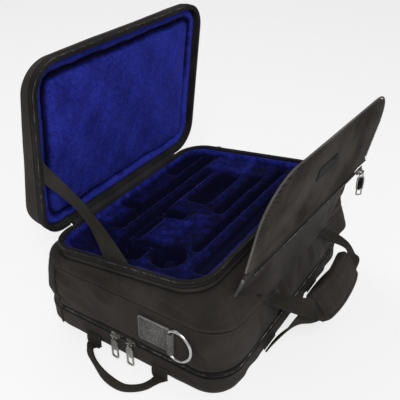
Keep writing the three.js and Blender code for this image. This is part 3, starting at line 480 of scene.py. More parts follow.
HINGE = (0, 148, 142.7)
CASE = turned(HINGE, -7.4)
LID = turned(HINGE, -84.4)
FLAP = turned((0, -177, 214), 11, -2.1, 0.9)


# ---------------------------------------------------------------- outlines, skins and sweeps
# Lengths, widths and corner radii, and how far the shell's and the lid face's middles lie before
# the hinge.
COVER_SIZE = (402, 320, 46)
ZIP_SIZE = (401, 319, 45.5)
RIM_SIZE, RIM_MIDDLE = (376.8, 263.8, 42.4), -133.5
FACE_SIZE, FACE_MIDDLE = (354.8, 228.8, 31.4), -127.0
# Steps of an outline round a corner, along its long sides and along its short ones.
ARC, LONG, SHORT = 14, 120, 84
FOLD_DEPTH = 2.1


def outline(length, width, corner, middle=0.0):
    """A rounded rectangle, counter-clockwise from the back end of its right side."""
    corner = max(corner, 0.5)
    pieces = []
    sides = ((1, 1), (-1, 1), (-1, -1), (1, -1))
    for quarter, (sx, sy) in enumerate(sides):
        centre = np.array([sx * (length / 2 - corner), sy * (width / 2 - corner)])
        turn = np.radians(90 * (quarter + np.arange(ARC + 1) / ARC))
        arc = centre + corner * np.stack([np.cos(turn), np.sin(turn)], 1)
        tx, ty = sides[(quarter + 1) % 4]
        following = np.array([tx * (length / 2 - corner), ty * (width / 2 - corner)])
        start = following + corner * np.array([math.cos(turn[-1]), math.sin(turn[-1])])
        steps = LONG if quarter % 2 == 0 else SHORT
        run = arc[-1] + (start - arc[-1]) * (np.arange(steps) / steps)[:, None]
        pieces += [arc[:-1], run]
    return np.concatenate(pieces) + np.array([0, middle])


def ring(points, z):
    return np.column_stack([points, np.broadcast_to(np.asarray(z, float), len(points))])


def cover_ring(inset, z):
    length, width, corner = COVER_SIZE
    return ring(outline(length - 2 * inset, width - 2 * inset, corner - inset), z)


def rim_outline(inset):
    """The rim that case and lid share, drawn in by an inset, in the plane of either."""
    length, width, corner = RIM_SIZE
    return outline(length - 2 * inset, width - 2 * inset, corner - inset, RIM_MIDDLE)


def face_outline(inset):
    """The flat of the lid's face, drawn in by an inset."""
    length, width, corner = FACE_SIZE
    return outline(length - 2 * inset, width - 2 * inset, max(corner - inset, 3), FACE_MIDDLE)


def shell_ring(inset, z):
    return ring(rim_outline(inset), z)


def opening_ring(inset, below):
    return placed(CASE, shell_ring(inset, -below))


def outward(line, closed=False):
    """Level directions away from what an outline runs round, counter-clockwise."""
    ahead = np.roll(line, -1, 0) - np.roll(line, 1, 0) if closed else np.gradient(line, axis=0)
    return unit(np.cross(ahead, Z))


def rise(start, end, value):
    """From 0 at start to 1 at end, smooth at both."""
    share = np.clip((np.asarray(value, float) - start) / (end - start), 0, 1)
    return share * share * (3 - 2 * share)


def hump(share, power=1.0):
    """From 0 over 1 in the middle to 0; a power under 1 makes it fuller."""
    return np.sin(math.pi * share) ** power


def dip(value, middle, width):
    """1 at the middle, fading to 0 over a few widths on both sides."""
    return np.exp(-(((value - middle) / width) ** 2))


def ripple(points, size, seed):
    """Smooth unevenness from -1 to 1 with waves of about the given size."""
    dice = np.random.default_rng(seed)
    total = np.zeros(points.shape[:-1])
    for octave in range(3):
        for _ in range(3):
            way = dice.normal(size=points.shape[-1])
            way *= 2 * math.pi / (size * 0.55**octave * dice.uniform(0.8, 1.3)) / np.linalg.norm(way)
            total += np.sin(points @ way + dice.uniform(0, 6.28)) * 0.5**octave
    return total / 3.6


def crease(points, start, end, depth, width):
    """A fold in the cloth along a line: a valley with a soft crest on both sides."""
    start, end = np.array(start, float), np.array(end, float)
    run = end - start
    share = np.clip((points - start) @ run / (run @ run), 0, 1)
    off = np.linalg.norm(points - start - share[..., None] * run, axis=-1) / width
    fade = hump(0.12 + 0.76 * share, 0.7)
    return FOLD_DEPTH * depth * fade * (0.5 * dip(off, 1.5, 1) - dip(off, 0, 1))


def facing(grid):
    """Outward normals of a grid whose rows run right round."""
    along = np.roll(grid, -1, 1) - np.roll(grid, 1, 1)
    return unit(np.cross(along, np.gradient(grid, axis=0)))


def make(name, points, faces, corner_uvs, look, wear=None, sharp=42):
    mesh = bpy.data.meshes.new(name)
    mesh.from_pydata((np.asarray(points) * METRE).tolist(), [], faces)
    layer = mesh.uv_layers.new(name="cloth")
    layer.data.foreach_set("uv", np.asarray(corner_uvs, np.float32).ravel())
    # The wear attribute: edge wear on cloth and leather, painted light and shade on the plush and on the
    # flap's ribs.
    mask = mesh.attributes.new("wear", "FLOAT", "POINT")
    worn = np.zeros(len(points)) if wear is None else np.clip(wear, 0, 1)
    mask.data.foreach_set("value", worn.astype(np.float32).ravel())
    mesh.polygons.foreach_set("use_smooth", np.ones(len(mesh.polygons), bool))
    mesh.set_sharp_from_angle(angle=math.radians(sharp))
    mesh.materials.append(look)
    piece = bpy.data.objects.new(name, mesh)
    bpy.context.scene.collection.objects.link(piece)
    return piece


def skin(name, grid, look, around=True, caps=(False, False), wear=None, flip=False, sharp=42):
    """A skin over a grid of points, its UV map in metres along the columns and the rows."""
    rows, columns = grid.shape[:2]
    index = np.arange(rows * columns).reshape(rows, columns)
    last = columns if around else columns - 1
    near, far = index[:, :last], np.roll(index, -1, 1)[:, :last]
    quads = np.stack([near[:-1], far[:-1], far[1:], near[1:]], -1).reshape(-1, 4)
    steps = np.linalg.norm(np.roll(grid, -1, 1) - grid, axis=-1)[:, :last]
    u = np.concatenate([[0], np.cumsum(steps[steps.sum(1).argmax()])]) * METRE
    v = np.concatenate([[0], np.cumsum(np.linalg.norm(np.diff(grid, axis=0), axis=-1).mean(1))]) * METRE
    low, high = (np.meshgrid(v[cut], u[cut], indexing="ij") for cut in (slice(None, -1), slice(1, None)))
    corners = np.stack([low[1], low[0], high[1], low[0], high[1], high[0], low[1], high[0]], -1)
    corners = corners.reshape(-1, 4, 2)
    if flip:
        quads, corners = quads[:, ::-1], corners[:, ::-1]
    faces, uvs = quads.tolist(), [corners.reshape(-1, 2)]
    for wanted, row, back in ((caps[0], 0, True), (caps[1], rows - 1, False)):
        if wanted:
            order = index[row][::-1] if back != flip else index[row]
            faces.append(order.tolist())
            uvs.append(grid.reshape(-1, 3)[order][:, :2] * METRE)
    return make(name, grid.reshape(-1, 3), faces, np.concatenate(uvs), look, wear, sharp)


def paint_rows(piece, columns, first, last, look):
    """Gives the faces between two rows of a skin another finish."""
    piece.data.materials.append(look)
    for polygon in piece.data.polygons[first * columns:last * columns]:
        polygon.material_index = 1


def round_section(radius, sides=10):
    turn = np.arange(sides) * 2 * math.pi / sides
    return radius * np.stack([np.cos(turn), np.sin(turn)], 1)


def flat_section(thick, width, edge=0.45, crown=0.0):
    """A strap's section: its thickness along the first axis, with rounded edges."""
    half, radius = width / 2, thick * edge
    side = np.linspace(-(half - radius), half - radius, 9)
    bulge = crown * (1 - (side / half) ** 2)
    top = np.stack([thick / 2 + bulge, side], 1)
    turn = np.radians([22, 45, 68, 90, 112, 135, 158])
    scale = np.array([thick / 2, radius])
    end = np.stack([np.cos(turn), np.sin(turn)], 1) * scale + np.array([0, half - radius])
    bottom = np.stack([-thick / 2 - bulge[::-1], side[::-1]], 1)
    start = np.stack([-np.cos(turn), -np.sin(turn)], 1) * scale - np.array([0, half - radius])
    return np.concatenate([top, end, bottom, start])


def sweep(path, outs, section, closed=False):
    """A grid that carries a section along a path; its first axis follows outs."""
    path = np.asarray(path, float)
    outs = np.broadcast_to(np.asarray(outs, float), path.shape)
    ahead = unit(np.roll(path, -1, 0) - np.roll(path, 1, 0) if closed else np.gradient(path, axis=0))
    outs = unit(outs - ahead * (outs * ahead).sum(1, keepdims=True))
    across = np.cross(ahead, outs)
    section = np.asarray(section, float)
    if section.ndim == 2:
        section = np.broadcast_to(section, (len(path),) + section.shape)
    grid = path[:, None] + section[..., :1] * outs[:, None] + section[..., 1:] * across[:, None]
    return np.concatenate([grid, grid[:1]]) if closed else grid


def strip(name, path, outs, section, look, closed=False):
    return skin(name, sweep(path, outs, section, closed), look, caps=(not closed, not closed))


def smooth_path(points, count, closed=False):
    """Points on the curve that runs evenly through the given ones."""
    given = np.array(points, float)
    size = len(given)
    made = []
    for share in np.linspace(0, 1, count, endpoint=not closed):
        place = share * (size if closed else size - 1)
        first = min(int(place), size - 1 if closed else size - 2)
        rest = place - first
        p1, p2 = given[first % size], given[(first + 1) % size]
        p0 = given[(first - 1) % size] if closed or first > 0 else 2 * p1 - p2
        p3 = given[(first + 2) % size] if closed or first + 2 < size else 2 * p2 - p1
        gaps = [max(np.linalg.norm(b - a), 1e-6) ** 0.5 for a, b in ((p0, p1), (p1, p2), (p2, p3))]
        start = ((p1 - p0) / gaps[0] - (p2 - p0) / (gaps[0] + gaps[1]) + (p2 - p1) / gaps[1]) * gaps[1]
        end = ((p2 - p1) / gaps[1] - (p3 - p1) / (gaps[1] + gaps[2]) + (p3 - p2) / gaps[2]) * gaps[1]
        cubic = (2 * p1 - 2 * p2 + start + end) * rest**3
        made.append(cubic + (-3 * p1 + 3 * p2 - 2 * start - end) * rest**2 + start * rest + p1)
    return np.array(made)


def settle(piece, body, slot, *nodes):
    """The piece rides on a body and stands for its CAD nodes, which it hides; its slot is not used."""
    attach(piece, body)
    if nodes:
        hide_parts(*nodes)
    return piece

def closed_cord(name, line, outs, radius, body, slot):
    """A piped cord all the way round, near black as a painted shadow line."""
    cord = strip(name, line, outs, round_section(radius), SHADOW_LINE_PIPING, closed=True)
    settle(cord, body, slot)


# ---------------------------------------------------------------- rows of stitches and teeth
def sewn_row_tree():
    tree = bpy.data.node_groups.new("sewn row", "GeometryNodeTree")
    for label, kind in (("Geometry", "Geometry"), ("Spacing", "Float"), ("Length", "Float"),
                        ("Width", "Float"), ("Height", "Float"), ("Material", "Material")):
        tree.interface.new_socket(name=label, in_out="INPUT", socket_type="NodeSocket" + kind)
    tree.interface.new_socket(name="Geometry", in_out="OUTPUT", socket_type="NodeSocketGeometry")
    nodes, links = tree.nodes, tree.links
    given, made = nodes.new("NodeGroupInput").outputs, nodes.new("NodeGroupOutput").inputs
    line = nodes.new("GeometryNodeMeshToCurve")
    dots = nodes.new("GeometryNodeCurveToPoints")
    dots.mode = "LENGTH"
    outward = nodes.new("GeometryNodeInputNamedAttribute")
    outward.data_type = "FLOAT_VECTOR"
    outward.inputs["Name"].default_value = "out"
    stand, along = (nodes.new("FunctionNodeAlignRotationToVector") for _ in range(2))
    stand.axis, along.axis, along.pivot_axis = "Z", "X", "Z"
    bead = nodes.new("GeometryNodeMeshUVSphere")
    bead.inputs["Segments"].default_value, bead.inputs["Rings"].default_value = 6, 4
    bead.inputs["Radius"].default_value = 0.5
    size = nodes.new("ShaderNodeCombineXYZ")
    put = nodes.new("GeometryNodeInstanceOnPoints")
    real = nodes.new("GeometryNodeRealizeInstances")
    soft = nodes.new("GeometryNodeSetShadeSmooth")
    paint = nodes.new("GeometryNodeSetMaterial")
    links.new(given["Geometry"], line.inputs[0])
    links.new(line.outputs[0], dots.inputs["Curve"])
    links.new(given["Spacing"], dots.inputs["Length"])
    links.new(dots.outputs["Points"], put.inputs["Points"])
    links.new(outward.outputs["Attribute"], stand.inputs["Vector"])
    links.new(stand.outputs[0], along.inputs["Rotation"])
    links.new(dots.outputs["Tangent"], along.inputs["Vector"])
    for index, label in enumerate(("Length", "Width", "Height")):
        links.new(given[label], size.inputs[index])
    links.new(bead.outputs["Mesh"], put.inputs["Instance"])
    links.new(along.outputs[0], put.inputs["Rotation"])
    links.new(size.outputs[0], put.inputs["Scale"])
    links.new(put.outputs[0], real.inputs[0])
    links.new(real.outputs[0], soft.inputs[0])
    links.new(soft.outputs[0], paint.inputs["Geometry"])
    links.new(given["Material"], paint.inputs["Material"])
    links.new(paint.outputs[0], made["Geometry"])
    return tree


SEWN = sewn_row_tree()


def sewn_row(name, lines, spacing, length, width, height, look, body, slot):
    """Beads along lines of (points, outs, closed): stitches, or the teeth of a zipper."""
    points, outs, edges = [], [], []
    for path, out, closed in lines:
        first = len(points)
        path = np.asarray(path, float)
        points += (path * METRE).tolist()
        outs += np.broadcast_to(np.asarray(out, float), path.shape).tolist()
        edges += [(first + i, first + i + 1) for i in range(len(path) - 1)]
        if closed:
            edges.append((first + len(path) - 1, first))
    mesh = bpy.data.meshes.new(name)
    mesh.from_pydata(points, edges, [])
    way = mesh.attributes.new("out", "FLOAT_VECTOR", "POINT")
    way.data.foreach_set("vector", np.array(outs, np.float32).ravel())
    row = bpy.data.objects.new(name, mesh)
    bpy.context.scene.collection.objects.link(row)
    steps = row.modifiers.new("sewn", "NODES")
    steps.node_group = SEWN
    values = {"Spacing": spacing * METRE, "Length": length * METRE, "Width": width * METRE,
              "Height": height * METRE, "Material": look}
    for item in SEWN.interface.items_tree:
        if item.in_out == "INPUT" and item.name in values:
            steps[item.identifier] = values[item.name]
    bpy.context.view_layer.update()
    done = bpy.data.meshes.new_from_object(row.evaluated_get(bpy.context.evaluated_depsgraph_get()))
    row.modifiers.remove(steps)
    row.data = done
    return settle(row, body, slot)


# ---------------------------------------------------------------- pocket and its zipper
def run_of(points, keep):
    """The stretch of a closed outline for which keep is true, in order."""
    start = next(i for i in range(len(points)) if keep[i] and not keep[i - 1])
    turn = np.roll(points, -start, 0)
    return turn[: int(keep.sum())]


POCKET_FEET = [
    (90, 0.0), (24, 0.0), (17, 0.3), (11.5, 1.5), (7, 3.8), (3.7, 7.2), (1.5, 11.5), (0.4, 16)]
POCKET_INSIDE = [
    (0.4, 39.7), (1.5, 40), (2.6, 39.8), (3, 39), (3, 11.5), (5.5, 6), (11, 3.5), (90, 3.5)]
# Folds: their start and end on the wall, their depth and their width.
POCKET_FOLDS = [
    ((40, 38), (62, 6), 1.6, 7), ((120, 36), (150, 8), 1.6, 9), ((-150, 36), (-120, 4), 1.4, 8)]
BACK_LEFT, FRONT_RIGHT = (-0.5, 0.86), (0.54, -0.84)
WELT_RADIUS, WELT_SPOT = 1.7, (201, 126)
ZIP_END = 118


def back_welts(name, grid, first, last, row, body):
    """The piped seams up both ends of the back, each on the nearest column of a skin's grid."""
    out = facing(grid)
    for side, end in SIDES:
        off = grid[row, :, :2] - (side * WELT_SPOT[0], WELT_SPOT[1])
        column = np.linalg.norm(off, axis=1).argmin()
        outs = out[first:last, column]
        line = grid[first:last, column] + outs * WELT_RADIUS * 0.55
        seam = strip(f"{name}_{end}", line, outs, round_section(WELT_RADIUS), NYLON)
        settle(seam, body, "cover_nylon")


def pocket():
    walls = [(0, z) for z in np.linspace(19, 38.6, 15)]
    foot = len(POCKET_FEET)
    grid = np.stack([cover_ring(inset, z) for inset, z in POCKET_FEET + walls + POCKET_INSIDE])
    out = facing(grid)
    z = grid[..., 2]
    outer = (np.arange(len(grid)) < foot + len(walls))[:, None]
    puff = np.where(outer, hump(np.clip((z - 3) / 37, 0, 1)), 0)
    slack = 0.5 + ripple(grid, 90, 3) * 1.3 + ripple(grid * [1, 1, 1.5], 34, 4) * 0.7
    folds = sum(crease(grid[..., [0, 2]], *fold) for fold in POCKET_FOLDS)
    slack += np.where(grid[..., 1] < -150, folds, 0)
    back = rise(0.3, 0.9, out[..., :2] @ BACK_LEFT) * rise(124, 140, grid[..., 1]) * rise(0, 12, z)
    grid = grid + out * (puff * slack + outer * 3.4 * back)[..., None]
    wear = np.where((np.abs(z - 39.5) < 1.2) | (z < 6), 0.6, 0.0)
    tray = skin("pocket", grid, NYLON, caps=(True, True), wear=wear)
    settle(tray, "base", "cover_nylon", "pocket_tray")
    row = foot + 13
    line = [(grid[row] + out[row] * 0.3, out[row], True)]
    sewn_row("pocket_stitches", line, 3.6, 2.5, 0.8, 0.6, THREAD, "base", "cover_nylon")
    back_welts("pocket_back_welt", grid, 6, 22, 12, "base")


def pocket_zip(name, z, teeth_z, body, node):
    line = outline(*ZIP_SIZE)
    line = run_of(line, line[:, 1] <= ZIP_END)
    path = ring(line, z)
    outs = outward(path)
    tape = strip(name, path, outs, flat_section(2.2, 4.0, 0.45, 0.35), TAPE)
    settle(tape, body, "zipper_tape", node)
    teeth = ring(line, teeth_z) + outs * 1.35
    sewn_row(name + "_coil", [(teeth, outs, False)], 1.7, 1.15, 1.5, 1.3, COIL, body, "zipper_tape")


def pocket_edges():
    """The bound edges over and under the zipper, near black as painted shadow lines."""
    line = cover_ring(0, 0)
    outs, section = outward(line, closed=True), round_section(1.3) * [1.0, 0.9]
    for name, z, body in (("pocket_binding", 39.2, "base"), ("cover_binding", 50.4, "cover")):
        bound = strip(name, line + (0, 0, z), outs, section, SHADOW_LINE_PIPING, closed=True)
        settle(bound, body, "cover_nylon")


def pocket_back():
    line = outline(*ZIP_SIZE)
    path = ring(run_of(line, line[:, 1] > ZIP_END + 0.2), 44.6)
    band = strip("pocket_back_cloth", path, outward(path), flat_section(2.0, 8.3, 0.4, 0.4), NYLON)
    settle(band, "base", "cover_nylon", "pocket_back_band")
    spots = [(0, 161.4, 23), (0, 161.5, 33), (0, 161.9, 44), (0, 163.2, 54), (0, 163.6, 64)]
    section = flat_section(1.4, 298, 0.4)
    fold = strip("pocket_fold_strip", smooth_path(spots, 24), Y, section, NYLON)
    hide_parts("pocket_hinge_strip")
    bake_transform(fold)


# ---------------------------------------------------------------- soft cover
SEAM_HEIGHT, SHOULDER_BULGE, SHOULDER_ROWS = 119.6, 0.12, 26
COVER_UNDER = [(90, 49.2), (5, 49.2), (1.2, 49.3), (0.2, 50)]
COVER_GROOVE = [(0.8, 116.0), (3.4, 116.8), (6.0, 118), (3.0, 119.2)]
COVER_LIP = [(-2.4, 17.3), (-1.9, 16.7), (-1.1, 16.5), (-0.3, 17.0), (-0.2, 20), (-0.2, 50)]
FRONT_FOLDS = [
    ((-110, 132), (-56, 125), 4.5, 5), ((-110, 133), (-40, 47), 2.8, 9), ((-40, 47), (-58, 124), 2.6, 7),
    ((-160, 142), (-163, 116), 2.6, 5), ((-114, 112), (-107, 76), 2.2, 6),
    ((-174, 137), (-224, 121), -2.6, 7), ((69, 123), (112, 120), 2.4, 5), ((112, 120), (177, 49), 2.8, 9),
    ((-50, 112), (-43, 69), 2.0, 6), ((-29, 106), (-27, 57), 2.2, 6), ((12, 119), (12, 89), 2.2, 6),
    ((40, 116), (52, 80), 1.8, 7), ((150, 140), (176, 124), 2.2, 6), ((-70, 60), (-95, 100), 1.8, 8),
    ((130, 56), (96, 74), 1.8, 8)]
SIDE_FOLDS = [
    ((120, 112), (78, 96), 2.4, 7), ((132, 66), (98, 58), 1.8, 6), ((60, 116), (30, 104), 1.6, 6),
    ((-92, 112), (-128, 62), 2.4, 9), ((-10, 60), (26, 56), 1.4, 6), ((96, 84), (60, 72), 1.5, 8),
    ((90, 130), (20, 134), 1.6, 6), ((-60, 132), (-120, 126), 1.8, 6)]


def shoulder_rows():
    """Rows from the seam up to the opening's edge, bulging between them."""
    seam, edge = cover_ring(0, SEAM_HEIGHT), opening_ring(-2.3, 18)
    chord = edge - seam
    level = np.hypot(chord[:, 0], chord[:, 1])
    bulge = unit(np.column_stack([-chord[:, :2] * (chord[:, 2] / level)[:, None], level]))
    bulge *= SHOULDER_BULGE * np.linalg.norm(chord, axis=1, keepdims=True)
    return [seam + chord * s + bulge * math.sin(math.pi * s) for s in np.linspace(0, 1, SHOULDER_ROWS)]


def cover_slack(grid, out, seam):
    """How far the cloth stands off its plain form: waves, folds and two fuller corners."""
    slack = ripple(grid, 95, 11) * 2.4 + ripple(grid * [1, 1, 0.6], 42, 12) * 1.3
    x, y = grid[..., 0], grid[..., 1]
    front, left = rise(0.35, 0.8, -out[..., 1]) * (y < -100), rise(0.35, 0.8, -out[..., 0]) * (x < -150)
    back, right = rise(0.35, 0.8, out[..., 1]) * (y > 120), rise(0.35, 0.8, out[..., 0]) * (x > 150)
    for fold in FRONT_FOLDS:
        slack += front * crease(grid[..., [0, 2]], *fold)
    for start, end, depth, width in SIDE_FOLDS:
        slack += left * crease(grid[..., [1, 2]], start, end, depth, width)
        slack += right * crease(grid[..., [1, 2]], start, end, depth * 0.6, width)
        slack += back * crease(grid[..., [0, 2]], start, end, depth, width)
    level = out[..., :2] / np.maximum(np.linalg.norm(out[..., :2], axis=-1, keepdims=True), 1e-6)
    slack += 10 * rise(0.55, 0.98, level @ FRONT_RIGHT) * rise(110, 175, x)
    slack += 1.6 * (np.arange(len(grid)) >= seam + len(COVER_GROOVE))[:, None]
    return slack + 2.5 * rise(0.4, 0.9, out[..., :2] @ BACK_LEFT) * rise(126, 140, y)


def soft_cover():
    under, groove = ([cover_ring(*pair) for pair in pairs] for pairs in (COVER_UNDER, COVER_GROOVE))
    share = np.linspace(0.03, 0.985, 30)
    walls = [cover_ring(-2.5 * hump(s, 0.8), 49.1 + 67.3 * s) for s in share]
    lip = [opening_ring(*pair) for pair in COVER_LIP]
    grid = np.stack(under + walls + groove + shoulder_rows() + lip)
    out = facing(grid)
    first, seam = len(under), len(under) + len(walls)
    shoulder = seam + len(groove)
    give = np.zeros(grid.shape[:2])
    give[first:seam] = hump(share, 0.5)[:, None]
    top = np.clip(np.linspace(0, 1, SHOULDER_ROWS), 0.01, 1)
    give[shoulder:shoulder + SHOULDER_ROWS] = hump(top, 0.4)[:, None]
    grid = grid + out * (give * cover_slack(grid, out, seam))[..., None]
    wear = np.zeros(grid.shape[:2])
    wear[seam - 1:seam + 6] = 0.5
    wear[-6:-3] = 0.6
    wear[first:first + 2] = 0.5
    cover = skin("soft_cover", grid, NYLON, caps=(True, False), wear=wear)
    settle(cover, "cover", "cover_nylon", "cover_body")
    out = facing(grid)
    rows = [(grid[r] + out[r] * 0.25, out[r], True) for r in (seam - 3, seam + 7)]
    sewn_row("cover_stitches", rows, 3.8, 2.6, 0.8, 0.6, THREAD, "cover", "cover_nylon")
    back_welts("cover_back_welt", grid, first + 1, seam - 1, first + 10, "cover")
    line = cover_ring(2.6, 118)
    closed_cord("cover_seam", line, outward(line, closed=True), 1.6, "cover", "cover_nylon")
    closed_cord("cover_lip_binding", opening_ring(-1.3, 16.9), Z, 1.4, "cover", "cover_nylon")


# ---------------------------------------------------------------- hard shell, lid and their zipper
# The walls' profiles: how far in from the rim's outline, and how high over its plane.
SHELL_PROFILE = [
    (30, -84), (10, -84), (4, -81.5), (0.8, -77), (0, -72), (0, -30), (0, -18), (0, -9.6), (0.3, -9.2),
    (0.3, -1.2), (0.6, -0.6), (1.4, -0.5), (4.8, -0.5), (5.7, -0.8), (6, -1.6), (6, -30), (6, -76)]
LID_LIP = [
    (5.6, 15), (5.6, 1.4), (5.3, 0.7), (4.6, 0.5), (1.4, 0.5), (0.6, 0.6), (0.3, 1.2), (0.3, 9.2),
    (0, 9.6), (0, 12)]
PAD_EDGE = [
    (5.9, 15), (6.0, 12.4), (7.0, 10.4), (9.4, 8.9), (13.0, 8.3), (16.6, 8.8), (19.4, 10.8), (21.2, 13.6),
    (22.6, 15.4), (24.0, 14.6), (25.8, 12.0), (28.0, 9.8), (31.0, 8.4), (35.0, 7.4), (40.0, 6.8)]
# The zipper's gap over the hinge: half its length, and how far from the hinge it ends.
ZIP_GAP = (134, -3)


def shell():
    grid = placed(CASE, np.stack([shell_ring(*pair) for pair in SHELL_PROFILE]))
    wear = np.zeros(grid.shape[:2])
    wear[9:11] = 0.5
    case = skin("hard_shell", grid, SHELL, caps=(True, False), wear=wear)
    # The rim's lip takes the dark tape finish: partly the tape's own colour, partly painted shade.
    paint_rows(case, grid.shape[1], 9, 16, TAPE)
    settle(case, "cover", "shell_cloth", "shell_base")


def lid_depth(y):
    """How far the lid's face lies from its rim; it is deepest at the hinge."""
    return 46 + 16 * y / 267


def lid_ring(share):
    """One row of the lid's profile, from its wall (share 0) to its face (share 1)."""
    turn = share * math.pi / 2
    deep, drawn = 0.5 + 0.5 * math.sin(turn), 1 - math.cos(turn)
    side, free = 11 * drawn, 24 * drawn
    length, width, corner = RIM_SIZE
    middle = RIM_MIDDLE + (free - side) / 2
    points = outline(length - 2 * side, width - side - free, corner - side, middle)
    return ring(points, deep * lid_depth(points[:, 1]))


def lid():
    rows = [shell_ring(*pair) for pair in LID_LIP] + [lid_ring(share) for share in np.linspace(0, 1, 16)]
    for inset in (8, 20, 36, 56, 80, 102):
        points = face_outline(inset)
        rows.append(ring(points, lid_depth(points[:, 1]) + 1.6 * min(inset / 40, 1)))
    grid, wall = np.stack(rows), len(LID_LIP)
    soft = (np.arange(len(grid)) >= wall + 2)[:, None]
    grid = grid + facing(grid) * (soft * ripple(grid, 80, 21) * 0.5)[..., None]
    wear = np.zeros(grid.shape[:2])
    wear[5:8] = 0.5
    wear[wall + 6:wall + 13] = 0.35
    face = skin("lid_cloth", placed(LID, grid), SHELL, caps=(False, True), wear=wear)
    # The lid's lip takes the dark tape finish: partly the tape's own colour, partly painted shade.
    paint_rows(face, grid.shape[1], 0, 6, TAPE)
    settle(face, "lid", "shell_cloth", "lid_shell")
    line = ring(face_outline(2), 0)
    line[:, 2] = lid_depth(line[:, 1]) + 0.2
    closed_cord("lid_face_welt", placed(LID, line), LID[0] @ Z, 1.4, "lid", "shell_cloth")


def rim_trim(name, where, way, body, zip_node):
    """Zipper tape, coil, piped edge and stitches of one rim; way is -1 below it and 1 above."""
    line = rim_outline(-0.8)
    line = run_of(line, ~((np.abs(line[:, 0]) < ZIP_GAP[0]) & (line[:, 1] > ZIP_GAP[1])))
    level_outs = outward(ring(line, 0))
    outs = level_outs @ where[0].T
    path = placed(where, ring(line, way * 4.6))
    tape = strip(name, path, outs, flat_section(1.2, 7.6, 0.4, 0.25), TAPE)
    settle(tape, body, "zipper_tape", zip_node)
    teeth = placed(where, ring(line, way * 1.15) + level_outs * 0.55)
    sewn_row(name + "_coil", [(teeth, outs, False)], 1.7, 1.15, 1.6, 1.0, COIL, body, "zipper_tape")
    edge = placed(where, ring(rim_outline(-0.4), way * 9.3))
    closed_cord(name + "_edge", edge, where[0] @ (way * Z), 1.25, body, "shell_cloth")
    line = placed(where, ring(line, way * 6.9) + level_outs * 0.75)
    sewn_row(name + "_stitches", [(line, outs, False)], 3.2, 2.2, 0.6, 0.4, THREAD, body, "zipper_tape")


def fold_path(pairs):
    """A line over the hinge: (y, depth) down in the case, and the same back up in the lid."""
    low = [placed(CASE, (0, y, -deep)) for y, deep in pairs]
    high = [placed(LID, (0, y, deep)) for y, deep in pairs[::-1]]
    return smooth_path(low + high, 26)


def lid_fold():
    """The tape that the lid folds on, sewn inside the case's back wall and inside the lid's."""
    path = fold_path([(-1.2, 15), (-0.9, 8), (-0.5, 2.5)])
    tape = strip("lid_fold_tape", path, (0, 1, 0.2), flat_section(1.0, 266, 0.4), TAPE)
    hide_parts("lid_hinge_strip")
    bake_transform(tape)
    path = fold_path([(-6.6, 9), (-6.2, 3.5), (-5.0, 0.6)])
    web = strip("lid_inner_tape", path, (0, -1, 0.4), flat_section(0.9, 262, 0.4), HINGE_TAPE)
    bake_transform(web)


def lid_pad():
    """Plush in the lid: a roll along its edge, a sunken line within and a loose flat middle, with painted
    light and shade on its pile.
    """
    middle = [(inset, 6.6 - 1.3 * min((inset - 42) / 40, 1)) for inset in np.arange(43, 129, 3.0)]
    profile = PAD_EDGE + middle
    base = rim_outline(0)
    wander = ripple(np.column_stack([base, 0 * base[:, 0]]), 60, 31)
    rows = []
    for inset, z in profile:
        loose = dip(inset, 22, 9)
        wide = rim_outline(inset)
        inward = unit(np.array([0, RIM_MIDDLE]) - wide)
        rows.append(ring(wide + inward * (wander * 3.2 * loose)[:, None], z + wander * 1.2 * loose))
    grid = np.stack(rows)
    flat = grid[..., :2]
    inset = np.array([pair[0] for pair in profile])[:, None]
    inner = rise(26, 44, inset)
    grid[..., 2] += inner * (ripple(flat, 46, 32) * 1.3 + ripple(flat, 15, 33) * 0.5)
    grid[..., 2] += (1 - inner) * ripple(flat, 22, 34) * 0.5
    # Painted light and shade for the pile, with random tone from the ripple: brighter towards the right and
    # on the roll's crest, and a painted shadow in the sunken line, strongest towards the top and the left.
    lift = 0.8 + 0.09 * ripple(flat, 60, 35) + 0.08 * rise(-60, 150, flat[..., 0])
    lift += dip(inset, 13, 6) * 0.2
    groove_shadow = 0.15 + 0.6 * rise(-60, -215, flat[..., 1]) + 0.35 * rise(60, -150, flat[..., 0])
    lift -= dip(inset, 23, 5) * np.minimum(groove_shadow, 0.8)
    pad = skin("lid_pad", placed(LID, grid), PLUSH, caps=(False, True), wear=lift, flip=True, sharp=180)
    settle(pad, "lid", "plush", "lid_lining")


# ---------------------------------------------------------------- moulded lining
LINING_SIZE, LINING_FACE = (364.2, 251.2, 36.1), -13.6
# Middle, length and width of each cavity and its depth, and of each raised pad and its height.
CAVITIES = [
    (38.4, -52.6, 267, 19, 24), (-5, -83.6, 240, 13, 20), (-138, -110, 36, 56, 42),
    (67.6, -125, 101, 40, 26), (65, -172, 130, 18, 24), (33.4, -199.4, 273, 15, 20),
    (-28.5, -27, 20, 50, 12), (128.8, -21.9, 86, 26, 12), (-74, -98.5, 64, 11, 14),
    (-29.6, -111.9, 22, 44, 22), (-112.9, -123.9, 10, 50, 14), (0, -237.9, 290, 28, 6)]
RAISED = [
    (-68, -18, 56, 34, 4), (32, -44, 96, 14, 2), (-74, -134, 62, 50, 3), (-146, -150, 30, 46, 2),
    (-34, -160, 34, 30, 3), (60, -100, 120, 8, 2.5), (154, -112, 66, 80, 3.5), (80, -149, 134, 14, 2),
    (53, -185, 62, 10, 2), (0, -212, 300, 9, 2.5)]
WELL, WELL_RADIUS, WELL_DEPTH, POST_RADIUS = (-128, -172), 27, 46, 10


def inside(x, y, box, corner):
    """How far a point lies outside a rounded rectangle; less than zero inside it."""
    cx, cy, length, width = box
    dx, dy = np.abs(x - cx) - (length / 2 - corner), np.abs(y - cy) - (width / 2 - corner)
    return np.hypot(np.maximum(dx, 0), np.maximum(dy, 0)) + np.minimum(np.maximum(dx, dy), 0) - corner


